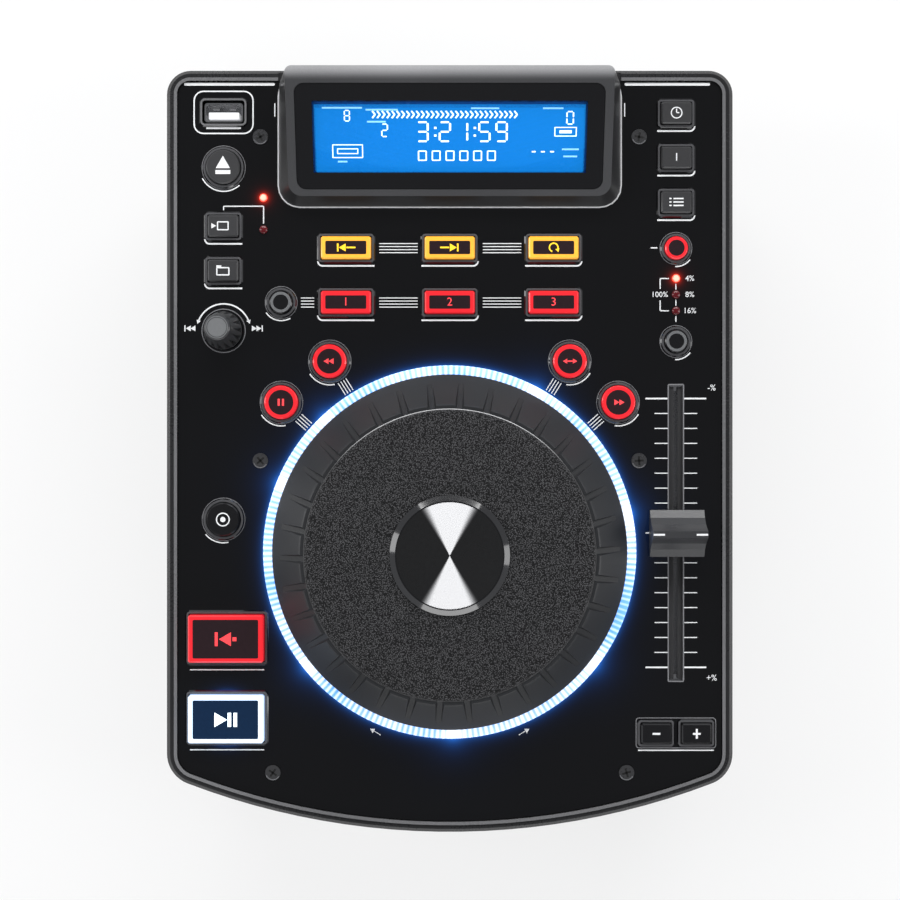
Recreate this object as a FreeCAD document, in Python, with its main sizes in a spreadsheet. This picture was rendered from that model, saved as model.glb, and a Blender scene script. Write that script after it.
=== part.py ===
import FreeCAD, Part
import Sketcher
import os
import re

# A tabletop disc player with a jog wheel, in millimetres. +Z is up, the front edge faces -Y, and the
# origin lies on the table under the middle of the case. Every driving size is a cell of the sheet.

document = FreeCAD.newDocument("DiscPlayer")
sheet = document.addObject("Spreadsheet::Sheet", "Size")

SIZES = {
    # Case: straight rear and sides, and a front edge that bows out on one large arc.
    "front_run": 105.2,
    "front_bow_radius": 276,
    "rear_corner": 9,
    "front_corner": 12,
    "foot_height": 6,
    "foot_radius": 9,
    "foot_inset": 26,
    "foot_front_inset": 34,
    "chassis_height": 34,
    "chassis_wall": 2,
    "chassis_side_inset": 4,
    "chassis_rear_inset": 11,
    "panel_top": 80,
    "case_wall": 3,
    "rim_width": 4.1,
    "rim_rise": 0.5,
    "rim_bevel": 1.4,
    "bead_width": 1.2,
    "bead_rise": 0.5,
    "ledge_width": 3,
    "ledge_thickness": 2.5,
    "plate_thickness": 2.5,
    "plate_gap": 0.25,
    # Screws through the face plate, and the bosses that they draw up to.
    "screw_gap": 7,
    "rear_screw_row": 25,
    "middle_screw_gap": 8.9,
    "middle_screw_angle": 64.3,
    "front_screw_inset": 39.9,
    "front_screw_edge": 22.4,
    "screw_head_radius": 2.9,
    "screw_head_height": 1.2,
    "screw_sink": 0.9,
    "screw_shank_radius": 1.4,
    "boss_width": 6.8,
    "board_drop": 12,
    "board_thickness": 1.6,
    "board_inset": 12,
    # Keys: a cap that slides in the plate, a flange under the plate and a stem over its switch.
    "key_rise": 2,
    "key_gap": 0.25,
    "key_bevel": 0.5,
    "key_corner": 0.9,
    "key_travel": 1,
    "flange_lip": 0.9,
    "flange_thickness": 1,
    "flange_gap": 0.2,
    "stem_width": 3.2,
    "stem_gap": 0.3,
    "switch_height": 3.1,
    "switch_width": 6,
    "collar_lip": 1.35,
    "collar_rise": 0.7,
    "collar_bevel": 0.5,
    "column_inset": 21.4,
    "column_gap": 14.9,
    "menu_pitch": 16.7,
    "menu_key_width": 11.4,
    "menu_key_depth": 8.1,
    "source_pitch": 22.1,
    "time_row": 16.3,
    "eject_pitch": 20.7,
    "eject_radius": 6.4,
    "tap_behind": 12.2,
    "tap_radius": 6.3,
    "start_key_width": 28,
    "start_key_depth": 17.6,
    "start_key_rise": 4.6,
    "start_key_shift": 1.3,
    "cue_ahead": 32.2,
    "play_pitch": 30,
    "bend_ahead": 67.9,
    "bend_spacing": 15.1,
    "bend_width": 11.2,
    "bend_depth": 7.6,
    "loop_gap": 15.6,
    "hot_cue_pitch": 20.4,
    "cue_spacing": 38.85,
    "cue_key_width": 18.6,
    "cue_key_depth": 8.4,
    "small_radius": 4.3,
    "record_gap": 24.35,
    "tempo_pitch": 17.1,
    "range_pitch": 11.5,
    "effect_gap": 14.5,
    "effect_radius": 6.3,
    "inner_effect_angle": 32.2,
    "outer_effect_angle": 48.4,
    # Indicator lamps.
    "lamp_radius": 1.5,
    "lamp_gap": 0.1,
    "lamp_rise": 0.5,
    "lamp_body": 6,
    "lamp_leg": 1.2,
    "source_lamp_shift": 15,
    "source_lamp_lead": 10.7,
    "source_lamp_spacing": 11.9,
    "range_lamp_pitch": 11.3,
    "range_lamp_spacing": 6.05,
    # Socket for a USB stick, standing on the key board.
    "stick_row": 15.8,
    "stick_shell_width": 14.4,
    "stick_shell_depth": 7.2,
    "stick_shell_wall": 0.6,
    "stick_shell_sink": 0.5,
    "stick_floor": 3,
    "stick_tongue_width": 11.4,
    "stick_tongue_depth": 1.9,
    "stick_tongue_sink": 1.5,
    "stick_gap": 0.3,
    # Jog wheel, turning on a shaft in a flanged bush.
    "jog_gap": 23.6,
    "jog_radius": 66.2,
    "jog_top_radius": 55,
    "jog_height": 18.6,
    "jog_float": 1.2,
    "jog_skirt": 2.4,
    "jog_wall": 3,
    "jog_web": 2.4,
    "jog_web_drop": 1.6,
    "jog_lip": 1.7,
    "jog_edge": 0.6,
    "hub_radius": 10,
    "scallop_count": 34,
    "scallop_radius": 1.9,
    "scallop_depth": 1.3,
    "scallop_length": 13.7,
    "scallop_turn": 3.8,
    "jog_plate_thickness": 2.4,
    "jog_plate_bevel": 0.8,
    "jog_plate_gap": 0.2,
    "cap_radius": 21.8,
    "cap_face_radius": 19.4,
    "cap_height": 1.8,
    "cap_edge": 0.4,
    "cap_dish": 0.25,
    "shaft_radius": 5,
    "shaft_gap": 0.03,
    "shaft_foot": 2,
    "shaft_foot_radius": 7.5,
    "bush_radius": 8,
    "bush_flange_radius": 10.5,
    "bush_flange": 0.6,
    "bush_length": 18,
    "bush_boss_radius": 13,
    "light_gap": 0.4,
    "light_width": 3.3,
    "light_height": 2.6,
    "light_sink": 1.5,
    "light_bevel": 0.5,
    # Track knob on its encoder, which turns and pushes in.
    "track_pitch": 22.4,
    "track_base_radius": 7.1,
    "track_top_radius": 4.7,
    "track_height": 16.2,
    "track_gap": 1.4,
    "track_skirt": 1.6,
    "track_flutes": 15,
    "track_flute": 0.6,
    "track_bevel": 0.5,
    "track_shaft_radius": 3,
    "track_shaft_gap": 0.05,
    "track_bore_depth": 12,
    "track_hole_radius": 4,
    "encoder_width": 12.5,
    "encoder_height": 6.5,
    "encoder_neck_radius": 3.6,
    "encoder_neck": 2,
    # Pitch fader.
    "fader_behind": 7.1,
    "fader_travel": 50,
    "fader_slot_width": 5,
    "fader_slot_length": 110.8,
    "fader_cap_width": 20.2,
    "fader_cap_depth": 17.4,
    "fader_cap_height": 12.5,
    "fader_cap_edge": 3.2,
    "fader_ridge": 2.6,
    "fader_cap_gap": 0.5,
    "lever_width": 1.2,
    "lever_depth": 4.6,
    "lever_reach": 7,
    "lever_gap": 0.05,
    "fader_body_width": 9,
    "fader_body_length": 126,
    "fader_body_height": 9.5,
    "fader_body_wall": 1,
    # Display hood, its window and the display under it.
    "hood_width": 128,
    "hood_front_row": 51.1,
    "hood_rear_row": 2,
    "hood_corner": 8,
    "hood_front_rise": 6,
    "hood_front_bevel": 3,
    "hood_rear_rise": 22.6,
    "hood_rear_bevel": 1.5,
    "hood_side_bevel": 4.2,
    "hood_top_corner": 5,
    "hood_wall": 2.2,
    "hood_roof": 2.8,
    "window_side": 7.5,
    "window_front": 2.6,
    "window_length": 38.6,
    "window_corner": 3.6,
    "window_thickness": 1.6,
    "window_gap": 0.15,
    "window_sink": 0.2,
    "window_ledge": 1.6,
    "display_side": 2.5,
    "display_end": 2.8,
    "display_thickness": 4.2,
    "display_glass": 1.2,
    "display_frame": 2.4,
    "display_gap": 0.2,
    # Disc slot, drive and its moving pieces.
    "slot_width": 124,
    "slot_height": 5,
    "slot_middle": 24,
    "slot_trim": 2.5,
    "slot_trim_depth": 4,
    "slot_trim_gap": 0.2,
    "slot_trim_proud": 0.4,
    "disc_edge": 74.8,
    "deck_side": 6,
    "deck_front": 57,
    "deck_rear": 66,
    "deck_plate": 1.5,
    "deck_level": 8,
    "deck_wall": 1.5,
    "deck_wall_height": 22,
    "deck_post_width": 7,
    "deck_post_inset": 8,
    "deck_post_setback": 14,
    "motor_radius": 12,
    "motor_height": 6,
    "spindle_radius": 1.5,
    "spindle_reach": 6.3,
    "spindle_gap": 0.05,
    "turntable_radius": 14.5,
    "turntable_rim": 2,
    "turntable_float": 2.2,
    "turntable_cone_radius": 7.3,
    "turntable_cone": 2,
    "sled_width": 30,
    "sled_length": 20,
    "sled_height": 6,
    "sled_start": 27,
    "sled_travel": 34,
    "lens_radius": 3.6,
    "lens_rise": 0.8,
    "rail_radius": 1.5,
    "rail_spacing": 38,
    "rail_level": 4,
    "rail_gap": 0.06,
    "sled_ear": 5.5,
    "roller_radius": 3.2,
    "roller_pin_radius": 1.5,
    "roller_pin_gap": 0.05,
    "roller_setback": 53,
    "roller_drop": 0.5,
    # Rear sockets and the power switch.
    "main_board_depth": 60,
    "main_board_inset": 16,
    "main_board_level": 5,
    "socket_level": 22,
    "phono_inset": 40.2,
    "phono_spacing": 14,
    "phono_radius": 4.15,
    "phono_bore_radius": 3.3,
    "phono_pin_radius": 1.6,
    "phono_length": 8.5,
    "phono_block_height": 13,
    "phono_block_face": 1.6,
    "phono_block_body": 9,
    "remote_gap": 14,
    "remote_bore_radius": 1.8,
    "remote_nut_radius": 4,
    "remote_nut": 2,
    "remote_body_width": 9,
    "remote_body_length": 12,
    "computer_column": 6,
    "computer_width": 12,
    "computer_height": 10.9,
    "computer_length": 16,
    "computer_wall": 0.6,
    "computer_proud": 1,
    "computer_tongue_width": 5.6,
    "computer_tongue_height": 3.2,
    "inlet_gap": 30,
    "inlet_width": 9,
    "inlet_height": 11,
    "inlet_length": 14,
    "inlet_proud": 0.6,
    "inlet_bore_radius": 3.2,
    "inlet_pin_radius": 1,
    "inlet_depth": 9.5,
    "switch_inset": 36.2,
    "rocker_frame_width": 21,
    "rocker_frame_height": 15,
    "rocker_frame_face": 1.8,
    "rocker_opening_width": 17,
    "rocker_opening_height": 11,
    "rocker_body_width": 19,
    "rocker_body_height": 13,
    "rocker_body_length": 17,
    "rocker_gap": 0.5,
    "rocker_axis_depth": 4,
    "rocker_swing": 8,
    "rocker_swing_gap": 0.2,
    "rocker_proud": 0.6,
    "rocker_dish": 1,
    "rocker_pin_radius": 1,
    "socket_gap": 0.2,
}

# Sizes that follow from the others. Rows count forward from the rear edge of the case: each column of keys
# runs down from its first piece, the jog wheel sits behind the hot cue keys, and the case ends in front of it.
DERIVED = {
    "light_inner_radius": "jog_radius + light_gap",
    "light_outer_radius": "light_inner_radius + light_width",
    "effect_ring": "light_outer_radius + effect_gap",
    "middle_screw_ring": "light_outer_radius + middle_screw_gap",
    "case_width": "2 * (light_outer_radius + column_gap + column_inset)",
    "eject_row": "stick_row + eject_pitch",
    "source_row": "eject_row + source_pitch",
    "source_lamp_row": "source_row - source_lamp_lead",
    "folder_row": "source_row + menu_pitch",
    "track_row": "folder_row + track_pitch",
    "single_row": "time_row + menu_pitch",
    "prog_row": "single_row + menu_pitch",
    "tempo_row": "prog_row + tempo_pitch",
    "range_lamp_row": "tempo_row + range_lamp_pitch",
    "range_row": "range_lamp_row + 2 * range_lamp_spacing + range_pitch",
    "loop_row": "hood_front_row + loop_gap",
    "hot_cue_row": "loop_row + hot_cue_pitch",
    "record_column": "cue_spacing + record_gap",
    "jog_row": "hot_cue_row + jog_gap + light_outer_radius",
    "tap_row": "jog_row - tap_behind",
    "cue_row": "jog_row + cue_ahead",
    "play_row": "cue_row + play_pitch",
    "bend_row": "jog_row + bend_ahead",
    "fader_row": "jog_row - fader_behind",
    "case_depth": "jog_row + front_run",
    "disc_row": "case_depth - disc_edge",
    "screw_column": "hood_width / 2 + screw_gap",
    "front_screw_column": "case_width / 2 - front_screw_inset",
    "front_screw_row": "case_depth - front_screw_edge",
    "window_width": "hood_width - 2 * window_side",
    "display_width": "window_width - 2 * display_side",
    "display_length": "window_length - 2 * display_end",
    "deck_width": "slot_width + 2 * deck_side",
    "phono_column": "phono_inset - case_width / 2",
    "remote_column": "phono_column + 2 * phono_spacing + remote_gap",
    "switch_column": "case_width / 2 - switch_inset",
    "inlet_column": "switch_column - inlet_gap",
}
for row, (name, number) in enumerate((SIZES | {key: f"={sum_}" for key, sum_ in DERIVED.items()}).items(), start=1):
    sheet.set(f"A{row}", name)
    sheet.set(f"B{row}", str(number))
    sheet.setAlias(f"B{row}", name)
document.recompute()
NAMES = SIZES.keys() | DERIVED.keys()

WORD = re.compile(r"[a-z][a-z_0-9]*")
QUARTER = 1.5707963267948966


def tied(sum_text):
    """The same sum, with each size read from its cell of the sheet."""
    return WORD.sub(lambda word: f"Size.{word[0]}" if word[0] in NAMES else word[0], str(sum_text))


def value(sum_text):
    """What a sum of sizes comes to, in millimetres or degrees."""
    found = sheet.evalExpression(tied(sum_text))
    return float(getattr(found, "Value", found))


def bind(thing, name, sum_text):
    """Ties one property to the sheet."""
    thing.setExpression(name, tied(sum_text))


def sub_part(label, x="0", y="0", z="0", turn="0"):
    """An empty body that is drawn about its own origin and set down at a place in the player."""
    body = document.addObject("PartDesign::Body", f"Body_{label}")
    body.Label = label
    body.AllowCompound = True
    upright = FreeCAD.Rotation(FreeCAD.Vector(0, 0, 1), value(turn))
    body.Placement = FreeCAD.Placement(FreeCAD.Vector(value(x), value(y), value(z)), upright)
    bind(body, ".Placement.Base.x", x)
    bind(body, ".Placement.Base.y", y)
    bind(body, ".Placement.Base.z", z)
    return body


class Drawing:
    """A sketch on one of a body's own origin planes, with every size and place tied to the sheet."""

    def __init__(self, body, height="0", plane="XY_Plane"):
        self.body = body
        self.sketch = body.newObject("Sketcher::SketchObject", f"{body.Name}_sketch")
        base = [each for each in body.Origin.OriginFeatures if each.Role == plane][0]
        self.sketch.AttachmentSupport = [(base, "")]
        self.sketch.MapMode = "FlatFace"
        self.ties = []
        self.sums = []
        bind(self.sketch, "AttachmentOffset.Base.z", height)

    def tie(self, kind, *rest):
        """Keeps one constraint until the drawing is finished."""
        self.ties.append(Sketcher.Constraint(kind, *rest))

    def finished(self):
        """Puts all constraints on the sketch together, each size with its sum."""
        self.sketch.addConstraint(self.ties)
        for index, amount in self.sums:
            bind(self.sketch, f"Constraints[{index}]", amount)
        return self.sketch

    def lean(self, y, angle):
        """Turns the plane about a line along X that runs at the given place."""
        tilted = FreeCAD.Rotation(FreeCAD.Vector(1, 0, 0), value(angle))
        base = self.sketch.AttachmentOffset.Base
        self.sketch.AttachmentOffset = FreeCAD.Placement(FreeCAD.Vector(0, value(y), base.z), tilted)
        bind(self.sketch, "AttachmentOffset.Base.y", y)
        bind(self.sketch, "AttachmentOffset.Rotation.Angle", angle)
        return self

    def measure(self, kind, *rest):
        """A dimension whose last word is a sum of sizes."""
        where, amount = rest[:-1], rest[-1]
        self.sums.append((len(self.ties), amount))
        self.tie(kind, *where, value(amount))

    def pin(self, edge, end, x=None, y=None):
        """Holds one end or centre of an edge at a place."""
        if x is not None:
            self.measure("DistanceX", -1, 1, edge, end, x)
        if y is not None:
            self.measure("DistanceY", -1, 1, edge, end, y)

    def circle(self, radius, x="0", y="0"):
        middle = FreeCAD.Vector(value(x), value(y), 0)
        edge = self.sketch.addGeometry(Part.Circle(middle, FreeCAD.Vector(0, 0, 1), value(radius)), False)
        self.measure("Radius", edge, radius)
        self.pin(edge, 3, x, y)
        return self

    def polygon(self, *corners):
        """A closed outline of straight lines through corners, each an x and a y."""
        places = [FreeCAD.Vector(value(x), value(y), 0) for x, y in corners]
        around = places[1:] + places[:1]
        edges = [self.sketch.addGeometry(Part.LineSegment(a, b), False) for a, b in zip(places, around)]
        for edge, following in zip(edges, edges[1:] + edges[:1]):
            self.tie("Coincident", edge, 2, following, 1)
        for edge, (x, y) in zip(edges, corners):
            self.pin(edge, 1, x, y)
        return self

    def rectangle(self, width, depth, x="0", y="0", corner=None):
        """A rectangle about a middle point, with rounded corners when a radius is given."""
        left, right = f"(({x}) - ({width}) / 2)", f"(({x}) + ({width}) / 2)"
        front, rear = f"(({y}) - ({depth}) / 2)", f"(({y}) + ({depth}) / 2)"
        if corner is None:
            return self.polygon((left, front), (right, front), (right, rear), (left, rear))
        return self.rounded(left, right, front, rear, [corner] * 4)

    def trimmed(self, width, depth, x="0", y="0", corner="key_corner"):
        """A rectangle about a middle point with its corners cut at 45 degrees."""
        cut = f"(0.6 * ({corner}))"
        across, along = f"(({width}) / 2)", f"(({depth}) / 2)"
        return self.polygon(*[
            (f"(({x}) + ({h} * ({across} - {cut} * {1 - u})))", f"(({y}) + ({v} * ({along} - {cut} * {u})))")
            for h, v, u in ((-1, -1, 0), (1, -1, 0), (1, -1, 1), (1, 1, 1),
                            (1, 1, 0), (-1, 1, 0), (-1, 1, 1), (-1, -1, 1))
        ])

    def rounded(self, left, right, front, rear, corners):
        """A rectangle with four corner radii, from the front left one counterclockwise."""
        west, east, south, north = (value(each) for each in (left, right, front, rear))
        radii = [value(each) for each in corners]
        middles = [
            FreeCAD.Vector(west + radii[0], south + radii[0], 0),
            FreeCAD.Vector(east - radii[1], south + radii[1], 0),
            FreeCAD.Vector(east - radii[2], north - radii[2], 0),
            FreeCAD.Vector(west + radii[3], north - radii[3], 0),
        ]
        arcs = []
        for turn, (middle, radius) in enumerate(zip(middles, radii)):
            start = (2 + turn) * QUARTER
            ring = Part.Circle(middle, FreeCAD.Vector(0, 0, 1), radius)
            arcs.append(self.sketch.addGeometry(Part.ArcOfCircle(ring, start, start + QUARTER), False))
        lines = []
        for first, second in zip(arcs, arcs[1:] + arcs[:1]):
            start = self.sketch.Geometry[first].EndPoint
            end = self.sketch.Geometry[second].StartPoint
            line = self.sketch.addGeometry(Part.LineSegment(start, end), False)
            self.tie("Tangent", first, 2, line, 1)
            self.tie("Tangent", line, 2, second, 1)
            lines.append(line)
        for line, direction in zip(lines, ("Horizontal", "Vertical", "Horizontal", "Vertical")):
            self.tie(direction, line)
        for arc, radius in zip(arcs, corners):
            self.measure("Radius", arc, radius)
        self.pin(lines[0], 1, y=front)
        self.pin(lines[1], 1, x=right)
        self.pin(lines[2], 1, y=rear)
        self.pin(lines[3], 1, x=left)
        return self

    def case_outline(self, inset, rear_inset=None):
        """The plan of the case, drawn in from its edge: a front bow that runs tangent into its corners."""
        rear_inset = rear_inset or inset
        side = f"(case_width / 2 - ({inset}))"
        rear = f"(case_depth / 2 - ({rear_inset}))"
        bow = f"(front_bow_radius - ({inset}))"
        bow_middle = "(front_bow_radius - case_depth / 2)"
        small = f"(rear_corner - min(({inset}); rear_corner - case_wall / 2))"
        large = f"(front_corner - min(({inset}); front_corner - case_wall / 2))"
        reach = f"({side} - {large})"
        drop = f"({bow_middle} - sqrt(({bow} - {large}) ^ 2 - {reach} ^ 2))"
        lean = f"asin({reach} / ({bow} - {large}))"
        spots = {
            "side": value(side), "rear": value(rear), "bow": value(bow), "middle": value(bow_middle),
            "small": value(small), "large": value(large), "reach": value(reach), "drop": value(drop),
        }
        swing = value(lean) * QUARTER / 90
        up = FreeCAD.Vector(0, 0, 1)
        wide = spots["side"] - spots["small"]
        deep = spots["rear"] - spots["small"]

        def arc(x, y, radius, start, end):
            ring = Part.Circle(FreeCAD.Vector(x, y, 0), up, radius)
            return self.sketch.addGeometry(Part.ArcOfCircle(ring, start, end), False)

        front = arc(0, spots["middle"], spots["bow"], 3 * QUARTER - swing, 3 * QUARTER + swing)
        right_front = arc(spots["reach"], spots["drop"], spots["large"], 3 * QUARTER + swing, 4 * QUARTER)
        right_rear = arc(wide, deep, spots["small"], 0, QUARTER)
        left_rear = arc(-wide, deep, spots["small"], QUARTER, 2 * QUARTER)
        left_front = arc(-spots["reach"], spots["drop"], spots["large"], 2 * QUARTER, 3 * QUARTER - swing)

        def line(first, second):
            start = self.sketch.Geometry[first].EndPoint
            end = self.sketch.Geometry[second].StartPoint
            edge = self.sketch.addGeometry(Part.LineSegment(start, end), False)
            self.tie("Tangent", first, 2, edge, 1)
            self.tie("Tangent", edge, 2, second, 1)
            return edge

        right = line(right_front, right_rear)
        back = line(right_rear, left_rear)
        left = line(left_rear, left_front)
        self.tie("Tangent", left_front, 2, front, 1)
        self.tie("Tangent", front, 2, right_front, 1)
        self.tie("Vertical", right)
        self.tie("Horizontal", back)
        self.tie("Vertical", left)
        self.measure("Radius", front, bow)
        self.measure("Radius", right_front, large)
        self.measure("Radius", left_front, large)
        self.measure("Radius", right_rear, small)
        self.measure("Radius", left_rear, small)
        self.pin(front, 3, "0", bow_middle)
        self.pin(right, 1, x=side)
        self.pin(back, 1, y=rear)
        self.pin(left, 1, x=f"(0 - {side})")
        return self


def feature(kind, drawing, length, reverse=False, middle=False, taper=None):
    made = drawing.body.newObject(kind, f"{drawing.body.Name}_feature")
    made.Profile = drawing.finished()
    bind(made, "Length", length)
    made.Reversed = reverse
    if middle:
        made.SideType = "Symmetric"
    if taper is not None:
        bind(made, "TaperAngle", taper)
    return made


def pad(drawing, length, **how):
    """Adds a prism that rises from the sketch."""
    return feature("PartDesign::Pad", drawing, length, **how)


def pocket(drawing, length, **how):
    """Cuts a prism that goes down from the sketch, or up from it when reversed."""
    return feature("PartDesign::Pocket", drawing, length, **how)


def turned(drawing, kind="PartDesign::Revolution"):
    """Spins a half section about the upright axis of its sketch."""
    made = drawing.body.newObject(kind, f"{drawing.body.Name}_turned")
    made.Profile = drawing.finished()
    made.ReferenceAxis = (drawing.sketch, ["V_Axis"])
    made.Angle = 360
    return made


def loft(kind, first, second):
    made = first.body.newObject(kind, f"{first.body.Name}_loft")
    made.Profile = first.finished()
    made.Sections = [second.finished()]
    made.Ruled = True
    return made


def repeated(body, cut, count):
    """Repeats a feature round the upright axis."""
    pattern = body.newObject("PartDesign::PolarPattern", f"{body.Name}_ring")
    pattern.Originals = [cut]
    upright = [each for each in body.Origin.OriginFeatures if each.Role == "Z_Axis"][0]
    pattern.Axis = (upright, [""])
    pattern.Angle = 360
    bind(pattern, "Occurrences", count)
    body.Tip = pattern
    return pattern


def bevel(body, size, height, outer_only=False):
    """Bevels the edges that lie flat at one height of the body, counted from its own origin."""
    document.recompute()
    tip = body.Tip
    level = value(height)
    flat = [
        face for face in tip.Shape.Faces
        if face.BoundBox.ZLength < 1e-6 and abs(face.BoundBox.ZMin - level) < 1e-6
    ]
    wanted = []
    for face in flat:
        for wire in [face.OuterWire] if outer_only else face.Wires:
            wanted.extend(wire.Edges)
    names = []
    for number, edge in enumerate(tip.Shape.Edges, start=1):
        if any(edge.isSame(each) for each in wanted):
            names.append(f"Edge{number}")
    made = body.newObject("PartDesign::Chamfer", f"{body.Name}_bevel")
    made.Base = (tip, names)
    bind(made, "Size", size)
    return made


# Places that several pieces share.
REAR = "(case_depth / 2)"
LEFT = "(column_inset - case_width / 2)"
RIGHT = "(case_width / 2 - column_inset)"
CASE_BOTTOM = "(foot_height + chassis_height)"
RIM_TOP = "(panel_top + rim_rise)"
PLATE_BOTTOM = "(panel_top - plate_thickness)"
BOARD_TOP = "(panel_top - board_drop)"
RISE_TO_PLATE = f"({PLATE_BOTTOM} - {BOARD_TOP})"
CHASSIS_REAR = "(case_depth / 2 - chassis_rear_inset)"
CHASSIS_FLOOR = "(foot_height + chassis_wall)"


def row(distance):
    """A place along Y, counted forward from the rear edge of the case."""
    return f"({REAR} - {distance})"


JOG = row("jog_row")
FADER = row("fader_row")
DISC = row("disc_row")
SCREWS = [
    (f"({sign} * {across})", along)
    for across, along in (
        ("screw_column", row("rear_screw_row")),
        ("middle_screw_ring * sin(middle_screw_angle)", f"({JOG} + middle_screw_ring * cos(middle_screw_angle))"),
        ("front_screw_column", row("front_screw_row")),
    )
    for sign in (1, -1)
]
LAMPS = [(f"({LEFT} + source_lamp_shift)", row(f"(source_lamp_row + {step} * source_lamp_spacing)"))
         for step in (0, 1)]
LAMPS += [(RIGHT, row(f"(range_lamp_row + {step} * range_lamp_spacing)")) for step in (0, 1, 2)]


def effect_place(angle):
    """A place on the arc of round keys behind the jog wheel, by its angle from straight back."""
    return f"(effect_ring * sin({angle}))", f"({JOG} + effect_ring * cos({angle}))"


START = f"({LEFT} + start_key_shift)"

SQUARE_KEYS = {
    "source_button": (LEFT, row("source_row"), "menu_key_width", "menu_key_depth", "key_rise"),
    "folder_button": (LEFT, row("folder_row"), "menu_key_width", "menu_key_depth", "key_rise"),
    "time_button": (RIGHT, row("time_row"), "menu_key_width", "menu_key_depth", "key_rise"),
    "single_button": (RIGHT, row("single_row"), "menu_key_width", "menu_key_depth", "key_rise"),
    "program_button": (RIGHT, row("prog_row"), "menu_key_width", "menu_key_depth", "key_rise"),
    "cue_button": (START, row("cue_row"), "start_key_width", "start_key_depth", "start_key_rise"),
    "play_button": (START, row("play_row"), "start_key_width", "start_key_depth", "start_key_rise"),
    "bend_minus_button": (f"({RIGHT} - bend_spacing / 2)", row("bend_row"), "bend_width", "bend_depth",
                          "key_rise"),
    "bend_plus_button": (f"({RIGHT} + bend_spacing / 2)", row("bend_row"), "bend_width", "bend_depth",
                         "key_rise"),
}
for step, (loop_name, cue_name) in enumerate((
    ("loop_in_button", "hot_cue_1_button"),
    ("loop_out_button", "hot_cue_2_button"),
    ("reloop_button", "hot_cue_3_button"),
)):
    across = f"({step - 1} * cue_spacing)"
    SQUARE_KEYS[loop_name] = (across, row("loop_row"), "cue_key_width", "cue_key_depth", "key_rise")
    SQUARE_KEYS[cue_name] = (across, row("hot_cue_row"), "cue_key_width", "cue_key_depth", "key_rise")

ROUND_KEYS = {
    "eject_button": (LEFT, row("eject_row"), "eject_radius"),
    "tap_button": (LEFT, row("tap_row"), "tap_radius"),
    "master_tempo_button": (RIGHT, row("tempo_row"), "small_radius"),
    "pitch_range_button": (RIGHT, row("range_row"), "small_radius"),
    "record_button": ("(0 - record_column)", row("hot_cue_row"), "small_radius"),
    "brake_button": (*effect_place("(0 - outer_effect_angle)"), "effect_radius"),
    "reverse_button": (*effect_place("(0 - inner_effect_angle)"), "effect_radius"),
    "scratch_button": (*effect_place("inner_effect_angle"), "effect_radius"),
    "search_button": (*effect_place("outer_effect_angle"), "effect_radius"),
}

# Bottom chassis: a pan with a flat floor, set in under the upper case so that the rear sockets stay covered.
INNER = "(chassis_side_inset + chassis_wall)"
INNER_REAR = "(chassis_rear_inset + chassis_wall)"
chassis = sub_part("bottom_chassis")
pad(Drawing(chassis, "foot_height").case_outline("chassis_side_inset", "chassis_rear_inset"), "chassis_height")
pocket(Drawing(chassis, CASE_BOTTOM).case_outline(INNER, INNER_REAR), "(chassis_height - chassis_wall)")
pocket(
    Drawing(chassis, plane="XZ_Plane").rectangle("(slot_width + 2 * slot_trim)", "(slot_height + 2 * slot_trim)",
                                                 y="slot_middle"),
    "case_depth / 2", reverse=True,
)
REAR_CUTS = (
    ("(phono_column + phono_spacing)", "(2 * phono_spacing + 2 * phono_radius + 4)", "phono_block_height"),
    ("computer_column", "computer_width", "computer_height"),
    ("inlet_column", "inlet_width", "inlet_height"),
    ("switch_column", "rocker_body_width", "rocker_body_height"),
)
rear_holes = Drawing(chassis, plane="XZ_Plane")
for x, width, height in REAR_CUTS:
    rear_holes.rectangle(f"({width} + 2 * socket_gap)", f"({height} + 2 * socket_gap)", x, "socket_level")
rear_holes.circle("(remote_nut_radius - 1)", "remote_column", "socket_level")
pocket(rear_holes, "case_depth / 2")
standoffs = Drawing(chassis, "foot_height")
BOARD_POSTS = [
    (f"({side} * (case_width / 2 - main_board_inset - 8))", f"({CHASSIS_REAR} - {deep})")
    for side in (1, -1) for deep in ("22", "(main_board_depth - 2)")
]
for x, y in BOARD_POSTS:
    standoffs.rectangle("5", "5", x, y)
pad(standoffs, "(chassis_wall + main_board_level)")
DECK_POSTS = [
    (f"({side} * (deck_width / 2 - deck_post_inset))", f"({DISC} + {deep})")
    for side in (1, -1) for deep in ("(deck_post_setback - deck_front)", "(deck_rear - deck_post_setback)")
]
deck_posts = Drawing(chassis, "foot_height")
for x, y in DECK_POSTS:
    deck_posts.rectangle("deck_post_width", "deck_post_width", x, y)
pad(deck_posts, "(chassis_wall + deck_level)")

# Four rubber feet, glued under the chassis.
feet = sub_part("rubber_feet")
foot_rings = Drawing(feet)
for side in ("(case_width / 2 - foot_inset)", "(foot_inset - case_width / 2)"):
    foot_rings.circle("foot_radius", side, "(foot_front_inset - case_depth / 2)")
    foot_rings.circle("foot_radius", side, f"({CHASSIS_REAR} - foot_inset)")
pad(foot_rings, "foot_height")

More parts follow.
